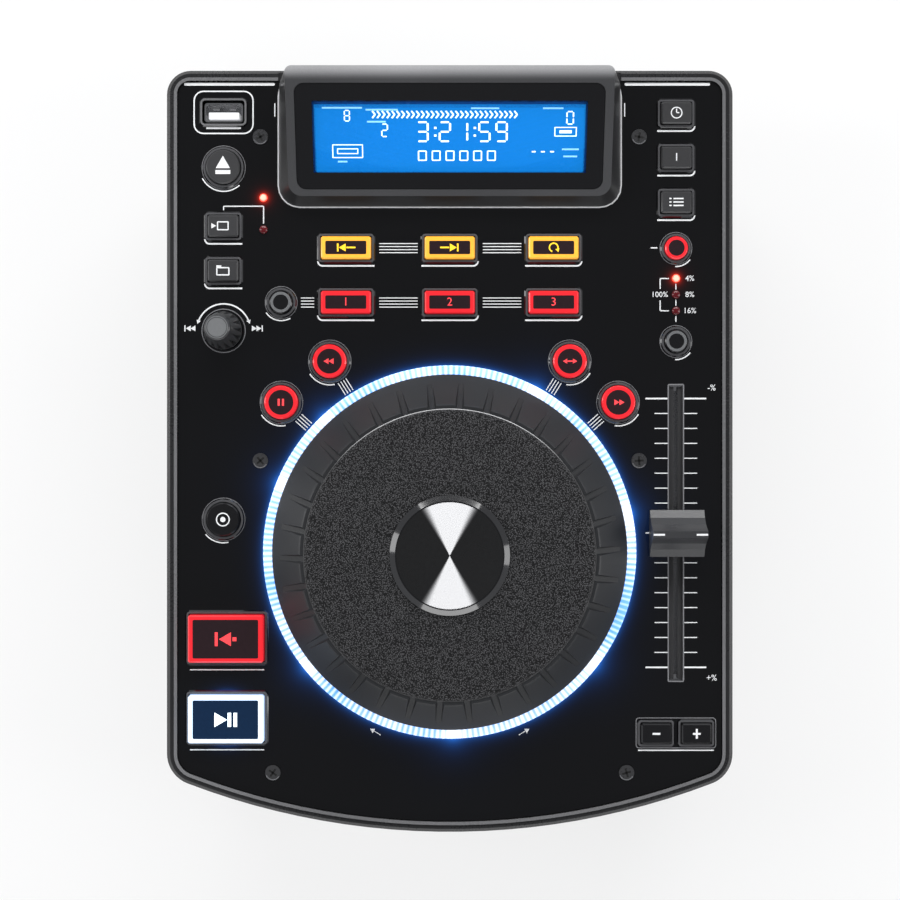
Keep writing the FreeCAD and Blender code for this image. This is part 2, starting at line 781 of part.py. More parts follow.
# Upper case: one moulding, open below, with a bevelled rim, a bead and a ledge that carries the face plate.
case = sub_part("upper_case")
pad(Drawing(case, CASE_BOTTOM).case_outline("0"), f"({RIM_TOP} - {CASE_BOTTOM})")
bevel(case, "rim_bevel", RIM_TOP, outer_only=True)
bead = Drawing(case, "panel_top").case_outline("(rim_width - bead_width)")
pad(bead, "(rim_rise + bead_rise)")
LEDGE_BOTTOM = f"({PLATE_BOTTOM} - ledge_thickness)"
pocket(Drawing(case, LEDGE_BOTTOM).case_outline("case_wall"), f"({LEDGE_BOTTOM} - {CASE_BOTTOM})")
pocket(Drawing(case, f"({RIM_TOP} + bead_rise)").case_outline("rim_width"),
       "(rim_rise + bead_rise + plate_thickness)")
pocket(Drawing(case, PLATE_BOTTOM).case_outline("(rim_width + ledge_width)"), "ledge_thickness")
HOOD_MIDDLE = row("((hood_front_row + hood_rear_row) / 2)")
HOOD_DEPTH = "(hood_front_row - hood_rear_row)"
notch = Drawing(case, f"({RIM_TOP} + bead_rise)")
notch.rectangle("(hood_width + 2 * plate_gap)", f"({HOOD_DEPTH} + 2 * plate_gap + hood_rear_row)", "0",
                row("(hood_front_row / 2)"))
pocket(notch, "(rim_rise + bead_rise)")
seat = Drawing(case, CASE_BOTTOM).case_outline("case_wall / 2")
seat.case_outline(INNER, INNER_REAR)
pad(seat, "2")

# Face plate: a glossy panel with a bevelled collar round each key, seats for the light ring and the screws,
# and bosses below that carry the key board.
plate = sub_part("face_plate")
pad(Drawing(plate, PLATE_BOTTOM).case_outline("(rim_width + plate_gap)"), "plate_thickness")
STICK_OPENING = ("(stick_shell_width + 2 * stick_gap)", "(stick_shell_depth + 2 * stick_gap)")


def openings(shape, lip, corner):
    """Draws every key's opening and the stick socket's, each grown by a lip, a few to a sketch."""
    wells = [(width, depth, x, y) for x, y, width, depth, rise in SQUARE_KEYS.values()]
    wells.append((*STICK_OPENING, LEFT, row("stick_row")))
    shapes = [(shape, (f"({width} + 2 * key_gap + 2 * ({lip}))", f"({depth} + 2 * key_gap + 2 * ({lip}))",
                       x, y, corner)) for width, depth, x, y in wells]
    shapes += [("circle", (f"({radius} + key_gap + {lip})", x, y)) for x, y, radius in ROUND_KEYS.values()]
    for first in range(0, len(shapes), 4):
        drawing = Drawing(plate, "(panel_top + collar_rise)")
        for kind, details in shapes[first:first + 4]:
            getattr(drawing, kind)(*details)
        yield drawing


for collars in openings("trimmed", "collar_lip", "(key_corner + collar_lip)"):
    pad(collars, "(collar_rise + plate_thickness / 2)", reverse=True)
bevel(plate, "collar_bevel", "(panel_top + collar_rise)", outer_only=True)
bosses = Drawing(plate, PLATE_BOTTOM)
for x, y in SCREWS:
    bosses.rectangle("boss_width", "boss_width", x, y)
pad(bosses, RISE_TO_PLATE, reverse=True)
pad(Drawing(plate, PLATE_BOTTOM).circle("bush_boss_radius", "0", JOG), "(bush_length - plate_thickness)",
    reverse=True)
for holes in openings("trimmed", "0", "(key_corner + key_gap)"):
    pocket(holes, "(plate_thickness + collar_rise)")
key_holes = Drawing(plate, "(panel_top + collar_rise)")
for x, y in LAMPS:
    key_holes.circle("(lamp_radius + lamp_gap)", x, y)
key_holes.circle("track_hole_radius", LEFT, row("track_row"))
key_holes.rectangle("fader_slot_width", "fader_slot_length", RIGHT, FADER)
pocket(key_holes, "(plate_thickness + collar_rise)")
screw_sinks = Drawing(plate, "panel_top")
screw_holes = Drawing(plate, "panel_top")
for x, y in SCREWS:
    screw_sinks.circle("(screw_head_radius + socket_gap)", x, y)
    screw_holes.rectangle("(2 * screw_shank_radius)", "(2 * screw_shank_radius)", x, y)
pocket(screw_sinks, "screw_sink")
pocket(screw_holes, f"(plate_thickness + {RISE_TO_PLATE})")
ring_seat = Drawing(plate, "panel_top").circle("(light_outer_radius + plate_gap)", "0", JOG)
ring_seat.circle("(light_inner_radius - plate_gap)", "0", JOG)
pocket(ring_seat, "light_sink")
pocket(Drawing(plate, "panel_top").circle("bush_radius", "0", JOG), "bush_length")
pocket(Drawing(plate, "panel_top").circle("bush_flange_radius", "0", JOG), "bush_flange")

# Six screws that hold the face plate down.
screws = sub_part("panel_screws")
screw_heads = Drawing(screws, "(panel_top - screw_sink)")
screw_shanks = Drawing(screws, BOARD_TOP)
for x, y in SCREWS:
    screw_heads.circle("screw_head_radius", x, y)
    screw_shanks.rectangle("(1.4 * screw_shank_radius)", "(1.4 * screw_shank_radius)", x, y)
pad(screw_heads, "screw_head_height")
pad(screw_shanks, "(board_drop - screw_sink)")

# Keys. Each is one moulding: cap, flange and a square stem that ends just above its switch.
SWITCH_TOP = f"({BOARD_TOP} + switch_height)"
STEM_BOTTOM = f"({SWITCH_TOP} + key_travel + stem_gap)"
FLANGE_BOTTOM = f"({PLATE_BOTTOM} - flange_gap - flange_thickness)"


def key_stem(body):
    pad(Drawing(body, FLANGE_BOTTOM).rectangle("stem_width", "stem_width"),
        f"({FLANGE_BOTTOM} - {STEM_BOTTOM})", reverse=True)


for name, (x, y, width, depth, rise) in SQUARE_KEYS.items():
    key = sub_part(name, x, y)
    flange = Drawing(key, FLANGE_BOTTOM).rectangle(f"({width} + 2 * flange_lip)", f"({depth} + 2 * flange_lip)")
    pad(flange, "flange_thickness")
    pad(Drawing(key, FLANGE_BOTTOM).trimmed(width, depth),
        f"(panel_top + {rise} - {FLANGE_BOTTOM})")
    bevel(key, "key_bevel", f"(panel_top + {rise})")
    key_stem(key)

for name, (x, y, radius) in ROUND_KEYS.items():
    key = sub_part(name, x, y)
    pad(Drawing(key, FLANGE_BOTTOM).circle(radius), f"(panel_top + key_rise - {FLANGE_BOTTOM})")
    bevel(key, "key_bevel", "(panel_top + key_rise)")
    pad(Drawing(key, FLANGE_BOTTOM).rectangle(f"(2 * {radius} + 2 * flange_lip)", "stem_width"),
        "flange_thickness")
    key_stem(key)

# Key board: one circuit board on the bosses, with a switch under each key.
board = sub_part("key_board")
BOARD_BOTTOM = f"({BOARD_TOP} - board_thickness)"
pad(Drawing(board, BOARD_BOTTOM).case_outline("board_inset"), "board_thickness")
board_cuts = Drawing(board, BOARD_TOP).circle("(bush_boss_radius + 2)", "0", JOG)
board_cuts.rectangle("(fader_body_width + 2)", "(fader_body_length + 2)", RIGHT, FADER)
pocket(board_cuts, "board_thickness")
KEY_PLACES = [(x, y) for x, y, *rest in list(SQUARE_KEYS.values()) + list(ROUND_KEYS.values())]
for first in range(0, len(KEY_PLACES), 6):
    switches = Drawing(board, BOARD_TOP)
    for x, y in KEY_PLACES[first:first + 6]:
        switches.rectangle("switch_width", "switch_width", x, y)
    pad(switches, "switch_height")

# Indicator lamps, standing on the key board by their legs.
lamps = sub_part("indicator_lamps")
lamp_bodies = Drawing(lamps, "(panel_top + lamp_rise)")
lamp_legs = Drawing(lamps, BOARD_TOP)
for x, y in LAMPS:
    lamp_bodies.circle("lamp_radius", x, y)
    lamp_legs.rectangle("lamp_leg", "lamp_leg", x, y)
pad(lamp_bodies, "(lamp_rise + lamp_body)", reverse=True)
pad(lamp_legs, "(board_drop - lamp_body)")

# Upright socket for a USB stick: a steel shell with a tongue, on the key board.
stick = sub_part("stick_socket", LEFT, row("stick_row"))
STICK_TOP = "(panel_top - stick_shell_sink)"
pad(Drawing(stick, BOARD_TOP).rectangle("stick_shell_width", "stick_shell_depth", corner="0.8"),
    f"({STICK_TOP} - {BOARD_TOP})")
STICK_INNER = ("(stick_shell_width - 2 * stick_shell_wall)", "(stick_shell_depth - 2 * stick_shell_wall)")
pocket(Drawing(stick, STICK_TOP).rectangle(*STICK_INNER), f"({STICK_TOP} - {BOARD_TOP} - stick_floor)")
pad(Drawing(stick, BOARD_TOP).rectangle("stick_tongue_width", "stick_tongue_depth",
                                        y="(stick_shell_wall + 1.9 - stick_shell_depth / 2)"),
    f"({STICK_TOP} - {BOARD_TOP} - stick_tongue_sink)")

# Light ring round the jog wheel: a clear moulding pressed into its seat in the face plate.
ring = sub_part("light_ring", "0", JOG)
ring_face = Drawing(ring, "(panel_top - light_sink)").circle("light_outer_radius").circle("light_inner_radius")
pad(ring_face, "light_height")
bevel(ring, "light_bevel", "(panel_top - light_sink + light_height)", outer_only=True)

# Flanged bronze bush, pressed into the face plate, and the shaft that turns in it.
bush = sub_part("jog_bush", "0", JOG)
BUSH_BOTTOM = "(panel_top - bush_length)"
BORE = "(shaft_radius + shaft_gap)"
turned(Drawing(bush, plane="XZ_Plane").polygon(
    (BORE, BUSH_BOTTOM), ("bush_radius", BUSH_BOTTOM), ("bush_radius", "(panel_top - bush_flange)"),
    ("bush_flange_radius", "(panel_top - bush_flange)"), ("bush_flange_radius", "panel_top"),
    (BORE, "panel_top"),
))
JOG_BOTTOM = "(panel_top + jog_float)"
JOG_TOP = f"({JOG_BOTTOM} + jog_height)"
WEB_TOP = f"({JOG_TOP} - jog_web_drop)"
shaft = sub_part("jog_shaft", "0", JOG)
turned(Drawing(shaft, plane="XZ_Plane").polygon(
    ("0", f"({BUSH_BOTTOM} - flange_gap - shaft_foot)"),
    ("shaft_foot_radius", f"({BUSH_BOTTOM} - flange_gap - shaft_foot)"),
    ("shaft_foot_radius", f"({BUSH_BOTTOM} - flange_gap)"),
    ("shaft_radius", f"({BUSH_BOTTOM} - flange_gap)"),
    ("shaft_radius", WEB_TOP), ("0", WEB_TOP),
))

# Jog wheel: a hollow cone with finger scallops down its side, a web under its top and a hub on the shaft.
wheel = sub_part("jog_wheel", "0", JOG, turn="(0 - scallop_turn)")
WEB_BOTTOM = f"({WEB_TOP} - jog_web)"
HUB_BOTTOM = "(panel_top + flange_gap)"
turned(Drawing(wheel, plane="XZ_Plane").polygon(
    ("shaft_radius", HUB_BOTTOM), ("hub_radius", HUB_BOTTOM), ("hub_radius", WEB_BOTTOM),
    ("(jog_top_radius - jog_wall)", WEB_BOTTOM), ("(jog_radius - jog_wall)", f"({JOG_BOTTOM} + jog_skirt)"),
    ("(jog_radius - jog_wall)", JOG_BOTTOM), ("jog_radius", JOG_BOTTOM),
    ("jog_radius", f"({JOG_BOTTOM} + jog_skirt)"), ("jog_top_radius", f"({JOG_TOP} - jog_edge)"),
    ("(jog_top_radius - jog_edge)", JOG_TOP), ("(jog_top_radius - jog_lip)", JOG_TOP),
    ("(jog_top_radius - jog_lip)", WEB_TOP), ("shaft_radius", WEB_TOP),
))
CONE = "atan((jog_height - jog_skirt - jog_edge) / (jog_radius - jog_top_radius))"
SINK = f"({CONE} - asin(scallop_depth / scallop_length))"
OUT = "(scallop_radius - scallop_depth)"
scallop = Drawing(wheel, f"({JOG_TOP} - jog_edge + cos({CONE}) * {OUT} + 3 * sin({SINK}))")
scallop.lean(f"(jog_top_radius + sin({CONE}) * {OUT} - 3 * cos({SINK}))", f"(90 deg - {SINK})")
scallop.polygon(
    ("(0 - scallop_radius)", "(scallop_radius / 2)"), ("(0 - scallop_radius)", "0"),
    ("(0 - scallop_radius / 2)", "(0 - scallop_radius)"), ("(scallop_radius / 2)", "(0 - scallop_radius)"),
    ("scallop_radius", "0"), ("scallop_radius", "(scallop_radius / 2)"),
)
repeated(wheel, pocket(scallop, "(scallop_length + 5)"), "scallop_count")

# Textured jog plate, glued on the web inside the wheel's lip, and the spun centre cap on it.
top_disc = sub_part("jog_plate", "0", JOG)
pad(Drawing(top_disc, WEB_TOP).circle("(jog_top_radius - jog_lip - jog_plate_gap)"), "jog_plate_thickness")
bevel(top_disc, "jog_plate_bevel", f"({WEB_TOP} + jog_plate_thickness)")
PLATE_FACE = f"({WEB_TOP} + jog_plate_thickness)"
cap = sub_part("jog_cap", "0", JOG)
turned(Drawing(cap, plane="XZ_Plane").polygon(
    ("0", PLATE_FACE), ("cap_radius", PLATE_FACE), ("cap_radius", f"({PLATE_FACE} + cap_edge)"),
    ("(cap_face_radius + cap_edge)", f"({PLATE_FACE} + cap_height)"),
    ("cap_face_radius", f"({PLATE_FACE} + cap_height)"),
    ("cap_face_radius", f"({PLATE_FACE} + cap_height - cap_dish)"),
    ("0", f"({PLATE_FACE} + cap_height - cap_dish)"),
))

# Track knob: a fluted cone on the shaft of an encoder, which turns it and lets it push in.
encoder = sub_part("track_encoder", LEFT, row("track_row"))
ENCODER_TOP = f"({BOARD_TOP} + encoder_height + encoder_neck)"
SHAFT_FOOT = f"({ENCODER_TOP} - encoder_neck - encoder_height + key_travel + stem_gap + 1)"
pad(Drawing(encoder, BOARD_TOP).rectangle("encoder_width", "encoder_width"), "encoder_height")
pad(Drawing(encoder, BOARD_TOP).circle("encoder_neck_radius"), "(encoder_height + encoder_neck)")
pocket(Drawing(encoder, ENCODER_TOP).circle("(track_shaft_radius + track_shaft_gap)"),
       f"({ENCODER_TOP} - {BOARD_TOP} - 1)")
KNOB_BOTTOM = "(panel_top + track_gap)"
track_shaft = sub_part("track_shaft", LEFT, row("track_row"))
pad(Drawing(track_shaft, SHAFT_FOOT).circle("track_shaft_radius"),
    f"({KNOB_BOTTOM} + track_bore_depth - {SHAFT_FOOT} - track_shaft_gap)")
knob = sub_part("track_knob", LEFT, row("track_row"))
KNOB_TOP = f"({KNOB_BOTTOM} + track_height)"
turned(Drawing(knob, plane="XZ_Plane").polygon(
    ("0", f"({KNOB_BOTTOM} + track_bore_depth)"),
    ("(track_shaft_radius + track_shaft_gap)", f"({KNOB_BOTTOM} + track_bore_depth)"),
    ("(track_shaft_radius + track_shaft_gap)", KNOB_BOTTOM), ("track_base_radius", KNOB_BOTTOM),
    ("track_base_radius", f"({KNOB_BOTTOM} + track_skirt)"),
    ("track_top_radius", f"({KNOB_TOP} - track_bevel)"),
    ("(track_top_radius - track_bevel)", KNOB_TOP), ("0", KNOB_TOP),
))
FLUTE_AT = "((track_base_radius + track_top_radius) / 2)"
flute = Drawing(knob, KNOB_TOP).polygon(
    (f"({FLUTE_AT} - track_flute)", "0"), ("(track_base_radius + 1)", "(0 - track_flute - 1)"),
    ("(track_base_radius + 1)", "(track_flute + 1)"))
repeated(knob, pocket(flute, "(track_height - track_skirt)"), "track_flutes")

# Pitch fader: a steel body screwed under the plate, a lever in its slot and a saddle-shaped cap.
fader_body = sub_part("fader_body", RIGHT, FADER)
pad(Drawing(fader_body, PLATE_BOTTOM).rectangle("fader_body_width", "fader_body_length"),
    "fader_body_height", reverse=True)
fader_slot = Drawing(fader_body, PLATE_BOTTOM)
fader_slot.rectangle("(lever_width + 4 * lever_gap + 1)", "(2 * fader_travel + lever_depth + 2)")
pocket(fader_slot, "(fader_body_height - fader_body_wall)")
CAP_BOTTOM = "(panel_top + fader_cap_gap)"
CAP_TOP = f"({CAP_BOTTOM} + fader_cap_height)"
LEVER_TOP = f"({CAP_BOTTOM} + lever_reach)"
LEVER_BOTTOM = f"({PLATE_BOTTOM} - fader_body_height + fader_body_wall + stem_gap)"
lever = sub_part("fader_lever", RIGHT, FADER)
pad(Drawing(lever, LEVER_BOTTOM).rectangle("lever_width", "lever_depth"), f"({LEVER_TOP} - {LEVER_BOTTOM})")
fader_cap = sub_part("fader_cap", RIGHT, FADER)
saddle = Drawing(fader_cap, plane="YZ_Plane")
saddle.polygon(*[
    (f"({side} * {reach})", height)
    for side, steps in ((-1, (0, 1, 2, 3, 4, 5)), (1, (5, 4, 3, 2, 1, 0)))
    for reach, height in [(
        ("(fader_cap_depth / 2)", CAP_BOTTOM),
        ("(fader_cap_depth / 2)", f"({CAP_BOTTOM} + fader_cap_edge)"),
        ("(fader_ridge / 2 + (fader_cap_depth - fader_ridge) / 2 * 0.62)",
         f"({CAP_BOTTOM} + fader_cap_edge + (fader_cap_height - fader_cap_edge) * 0.16)"),
        ("(fader_ridge / 2 + (fader_cap_depth - fader_ridge) / 2 * 0.3)",
         f"({CAP_BOTTOM} + fader_cap_edge + (fader_cap_height - fader_cap_edge) * 0.46)"),
        ("(fader_ridge / 2 + (fader_cap_depth - fader_ridge) / 2 * 0.1)",
         f"({CAP_BOTTOM} + fader_cap_edge + (fader_cap_height - fader_cap_edge) * 0.8)"),
        ("(fader_ridge / 2)", CAP_TOP),
    )[step] for step in steps]
])
pad(saddle, "fader_cap_width", middle=True)
pocket(Drawing(fader_cap, CAP_BOTTOM).rectangle("(lever_width + 2 * lever_gap)", "(lever_depth + 2 * lever_gap)"),
       "(lever_reach + lever_gap)", reverse=True)

# Display hood: a tilted shell over the rear of the plate, with a recess for its window.
HOOD_SLOPE_RUN = "(hood_front_row - hood_front_bevel - hood_rear_row - hood_rear_bevel)"
TILT = f"atan((hood_rear_rise - hood_front_rise) / {HOOD_SLOPE_RUN})"
FACE_LENGTH = f"sqrt({HOOD_SLOPE_RUN} ^ 2 + (hood_rear_rise - hood_front_rise) ^ 2)"
FACE_FRONT = row("(hood_front_row - hood_front_bevel)")
FACE_BASE = "(panel_top + hood_front_rise)"


def on_face(body, depth):
    """A sketch parallel to the hood's tilted face, a depth below it; its y runs up the slope."""
    return Drawing(body, f"({FACE_BASE} - ({depth}) * cos({TILT}))").lean(
        f"({FACE_FRONT} + ({depth}) * sin({TILT}))", TILT)


hood = sub_part("display_hood")
hood_base = Drawing(hood, "panel_top").rounded(
    "(0 - hood_width / 2)", "(hood_width / 2)", row("hood_front_row"), row("hood_rear_row"),
    ["hood_corner", "hood_corner", "hood_corner / 2", "hood_corner / 2"])
HALF_FACE = "(hood_width / 2 - hood_side_bevel)"
hood_face = on_face(hood, "0").rounded(
    f"(0 - {HALF_FACE})", HALF_FACE, "0", FACE_LENGTH,
    ["hood_top_corner", "hood_top_corner", "hood_top_corner / 2", "hood_top_corner / 2"])
loft("PartDesign::AdditiveLoft", hood_base, hood_face)
hollow_base = Drawing(hood, "panel_top").rounded(
    "(hood_wall - hood_width / 2)", "(hood_width / 2 - hood_wall)", row("(hood_front_row - hood_wall)"),
    row("(hood_rear_row + hood_wall)"), ["hood_corner - hood_wall", "hood_corner - hood_wall", "1", "1"])
hollow_face = on_face(hood, "hood_roof").rounded(
    f"(hood_wall - {HALF_FACE})", f"({HALF_FACE} - hood_wall)", "hood_wall", f"({FACE_LENGTH} - hood_wall)",
    ["hood_top_corner - hood_wall", "hood_top_corner - hood_wall", "0.5", "0.5"])
loft("PartDesign::SubtractiveLoft", hollow_base, hollow_face)
WINDOW_MIDDLE = "(window_front + window_length / 2)"
pocket(on_face(hood, "0").rectangle("(window_width + 2 * window_gap)", "(window_length + 2 * window_gap)",
                                    y=WINDOW_MIDDLE, corner="window_corner"),
       "(window_thickness + window_sink)")
pocket(on_face(hood, "0").rectangle("(window_width - 2 * window_ledge)", "(window_length - 2 * window_ledge)",
                                    y=WINDOW_MIDDLE), "(hood_roof + 0.5)")

# Window: a clear sheet with a black printed border, glued on the ledge; the display hangs under it.
window = sub_part("display_window")
pad(on_face(window, "window_sink").rectangle("window_width", "window_length", y=WINDOW_MIDDLE,
                                             corner="window_corner"), "window_thickness", reverse=True)
display = sub_part("display_module")
DISPLAY_DEPTH = "(hood_roof + display_gap)"
pad(on_face(display, DISPLAY_DEPTH).rectangle("display_width", "display_length", y=WINDOW_MIDDLE),
    "display_thickness", reverse=True)
glass = on_face(display, f"({DISPLAY_DEPTH} - display_glass)")
glass.rectangle("(display_width - 2 * display_frame)", "(display_length - 2 * display_frame)", y=WINDOW_MIDDLE)
pad(glass, "display_glass", reverse=True)

# Disc slot trim: a frame for the felt lips, bowed like the front wall of the chassis that it is pressed into.
trim = sub_part("slot_trim")
TRIM_WIDTH = "(slot_width + 2 * slot_trim - 2 * slot_trim_gap)"
TRIM_HEIGHT = "(slot_height + 2 * slot_trim - 2 * slot_trim_gap)"
TRIM_TOP = f"(slot_middle + {TRIM_HEIGHT} / 2)"
TRIM_SIDE = f"((case_width - {TRIM_WIDTH}) / 2)"
pad(Drawing(trim, TRIM_TOP).case_outline("(chassis_side_inset - slot_trim_proud)"), TRIM_HEIGHT, reverse=True)
pocket(Drawing(trim, TRIM_TOP).case_outline("(chassis_side_inset + slot_trim_depth)"), TRIM_HEIGHT)
pocket(Drawing(trim, TRIM_TOP).rectangle("case_width", "case_depth", y="(case_width / 4)"), TRIM_HEIGHT)
beyond = Drawing(trim, plane="XZ_Plane")
for side in (1, -1):
    beyond.rectangle(TRIM_SIDE, "(2 * slot_middle)", f"({side} * (case_width - {TRIM_SIDE}) / 2)", "slot_middle")
beyond.rectangle("slot_width", "slot_height", y="slot_middle")
pocket(beyond, "case_depth / 2", reverse=True)

# Drive deck: a pressed steel tray on four posts, which carries the motor, the rails and the roller.
deck = sub_part("drive_deck", "0", DISC)
DECK_BOTTOM = f"({CHASSIS_FLOOR} + deck_level)"
DECK_TOP = f"({DECK_BOTTOM} + deck_plate)"
DECK_LENGTH = "(deck_front + deck_rear)"
DECK_MIDDLE = "((deck_rear - deck_front) / 2)"
pad(Drawing(deck, DECK_BOTTOM).rectangle("deck_width", DECK_LENGTH, y=DECK_MIDDLE), "deck_plate")
walls = Drawing(deck, DECK_BOTTOM)
for side in (1, -1):
    walls.rectangle("deck_wall", DECK_LENGTH, f"({side} * (deck_width - deck_wall) / 2)", DECK_MIDDLE)
pad(walls, "deck_wall_height")
window_cut = Drawing(deck, DECK_TOP).rectangle("(sled_width + 2)", "(sled_length + sled_travel + 4)",
                                               y="(sled_start + sled_travel / 2)")
window_cut.circle("(spindle_radius + 2)")
window_cut.rectangle("(deck_width - 2 * deck_wall)", "(2 * roller_radius + 2)", y="(0 - roller_setback)")
pocket(window_cut, "deck_plate")
RAIL_HEIGHT = f"({DECK_TOP} + rail_level)"
rails = Drawing(deck, "(0 - (sled_start - sled_length / 2 - 3))", plane="XZ_Plane")
for side in (1, -1):
    rails.circle("rail_radius", f"({side} * rail_spacing / 2)", RAIL_HEIGHT)
RAIL_LENGTH = "(sled_travel + sled_length + 8)"
pad(rails, RAIL_LENGTH, reverse=True)
rail_feet = Drawing(deck, DECK_TOP)
for side in (1, -1):
    for place in ("(sled_start - sled_length / 2 - 4)", "(sled_start + sled_travel + sled_length / 2 + 4)"):
        rail_feet.rectangle("5", "2.5", f"({side} * rail_spacing / 2)", place)
pad(rail_feet, "(rail_level + 2.5)")
pin_holes = Drawing(deck, plane="YZ_Plane")
ROLLER_LEVEL = "(slot_middle - slot_height / 2 - roller_radius - roller_drop)"
pin_holes.circle("(roller_pin_radius + roller_pin_gap)", "(0 - roller_setback)", ROLLER_LEVEL)
pocket(pin_holes, "deck_width + 2", middle=True)

motor = sub_part("spindle_motor", "0", DISC)
pad(Drawing(motor, DECK_BOTTOM).circle("motor_radius"), "motor_height", reverse=True)
pad(Drawing(motor, DECK_BOTTOM).circle("spindle_radius"), "(spindle_reach + deck_plate)")
TABLE_BOTTOM = f"({DECK_TOP} + turntable_float)"
TABLE_TOP = f"({TABLE_BOTTOM} + turntable_rim)"
table = sub_part("turntable", "0", DISC)
turned(Drawing(table, plane="XZ_Plane").polygon(
    ("(spindle_radius + spindle_gap)", TABLE_BOTTOM), ("turntable_radius", TABLE_BOTTOM),
    ("turntable_radius", TABLE_TOP), ("turntable_cone_radius", TABLE_TOP),
    ("(turntable_cone_radius - 1.5)", f"({TABLE_TOP} + turntable_cone)"),
    ("(spindle_radius + spindle_gap)", f"({TABLE_TOP} + turntable_cone)"),
))
sled = sub_part("laser_sled", "0", f"({DISC} + sled_start)")
SLED_BOTTOM = f"({RAIL_HEIGHT} - sled_height / 2)"
pad(Drawing(sled, SLED_BOTTOM).rectangle("(rail_spacing + 2 * sled_ear)", "(sled_length * 0.6)"), "sled_height")
pad(Drawing(sled, SLED_BOTTOM).rectangle("sled_width", "sled_length"), "sled_height")
pad(Drawing(sled, f"({SLED_BOTTOM} + sled_height)").circle("lens_radius"), "lens_rise")
sled_bores = Drawing(sled, plane="XZ_Plane")
for side in (1, -1):
    sled_bores.circle("(rail_radius + rail_gap)", f"({side} * rail_spacing / 2)", RAIL_HEIGHT)
pocket(sled_bores, "(sled_length + 2)", middle=True)
roller = sub_part("loading_roller", "0", f"({DISC} - roller_setback)")
INSIDE = "(deck_width / 2 - deck_wall - stem_gap)"
roller_half = Drawing(roller, plane="YZ_Plane")
roller_half.circle("roller_pin_radius", "0", ROLLER_LEVEL)
pad(roller_half, "(deck_width + 1)", middle=True)
rubber = Drawing(roller, plane="YZ_Plane").circle("roller_radius", "0", ROLLER_LEVEL)
pad(rubber, f"(2 * {INSIDE})", middle=True)

# Main board on its posts, with the rear sockets.
main = sub_part("main_board")
MAIN_BOTTOM = f"({CHASSIS_FLOOR} + main_board_level)"
MAIN_TOP = f"({MAIN_BOTTOM} + board_thickness)"
WALL_INSIDE = f"({CHASSIS_REAR} - chassis_wall)"
pad(Drawing(main, MAIN_BOTTOM).rectangle("(case_width - 2 * main_board_inset)", "main_board_depth",
                                         y=f"({WALL_INSIDE} - 1 - main_board_depth / 2)"), "board_thickness")


def rear_socket(label, column):
    """A body whose sketches lie in the outer face of the chassis rear wall."""
    return sub_part(label, column, CHASSIS_REAR, "socket_level")


def rear_block(body, width, height, proud, inside):
    """A block through the rear wall: so far out of it, and so far in from its outer face."""
    drawing = Drawing(body, f"(0 - ({proud}))", plane="XZ_Plane").rectangle(width, height)
    return pad(drawing, f"({proud} + {inside})")


def board_leg(body, width, inside):
    """What stands on the main board under a socket."""
    level = f"(socket_level - {MAIN_TOP})"
    leg = Drawing(body, "0").rectangle(width, "(chassis_wall + 3)", y=f"(0 - {inside} + (chassis_wall + 3) / 2)")
    return pad(leg, level, reverse=True)


phono = rear_socket("phono_sockets", "(phono_column + phono_spacing)")
rear_block(phono, "(2 * phono_spacing + 2 * phono_radius + 4)", "phono_block_height", "phono_block_face",
           "phono_block_body")
board_leg(phono, "(2 * phono_spacing + 2 * phono_radius)", "phono_block_body")
sleeves = Drawing(phono, "(0 - phono_block_face - phono_length)", plane="XZ_Plane")
bores = Drawing(phono, "(0 - phono_block_face - phono_length)", plane="XZ_Plane")
for place in (-1, 0, 1):
    sleeves.circle("phono_radius", f"({place} * phono_spacing)")
    bores.circle("phono_bore_radius", f"({place} * phono_spacing)")
    bores.circle("phono_pin_radius", f"({place} * phono_spacing)")
pad(sleeves, "phono_length")
pocket(bores, "(phono_length - 1)", reverse=True)

remote = rear_socket("remote_jack", "remote_column")
pad(Drawing(remote, "chassis_wall", plane="XZ_Plane").rectangle("remote_body_width", "remote_body_width"),
    "remote_body_length")
board_leg(remote, "remote_body_width", "(chassis_wall + 6)")
pad(Drawing(remote, "0", plane="XZ_Plane").circle("(remote_nut_radius - 1 - socket_gap)"), "chassis_wall")
pad(Drawing(remote, "(0 - remote_nut)", plane="XZ_Plane").circle("remote_nut_radius"), "remote_nut")
pocket(Drawing(remote, "(0 - remote_nut)", plane="XZ_Plane").circle("remote_bore_radius"),
       "(remote_nut + remote_body_length - 2)", reverse=True)

computer = rear_socket("computer_socket", "computer_column")
rear_block(computer, "computer_width", "computer_height", "computer_proud", "computer_length")
mouth = Drawing(computer, "(0 - computer_proud)", plane="XZ_Plane")
mouth.rectangle("(computer_width - 4 * computer_wall)", "(computer_height - 4 * computer_wall)")
mouth.rectangle("computer_tongue_width", "computer_tongue_height")
pocket(mouth, "(computer_length - 4)", reverse=True)
board_leg(computer, "computer_width", "computer_length")

inlet = rear_socket("power_inlet", "inlet_column")
rear_block(inlet, "inlet_width", "inlet_height", "inlet_proud", "inlet_length")
inlet_bore = Drawing(inlet, "(0 - inlet_proud)", plane="XZ_Plane")
inlet_bore.circle("inlet_bore_radius").circle("inlet_pin_radius")
pocket(inlet_bore, "inlet_depth", reverse=True)
board_leg(inlet, "inlet_width", "inlet_length")

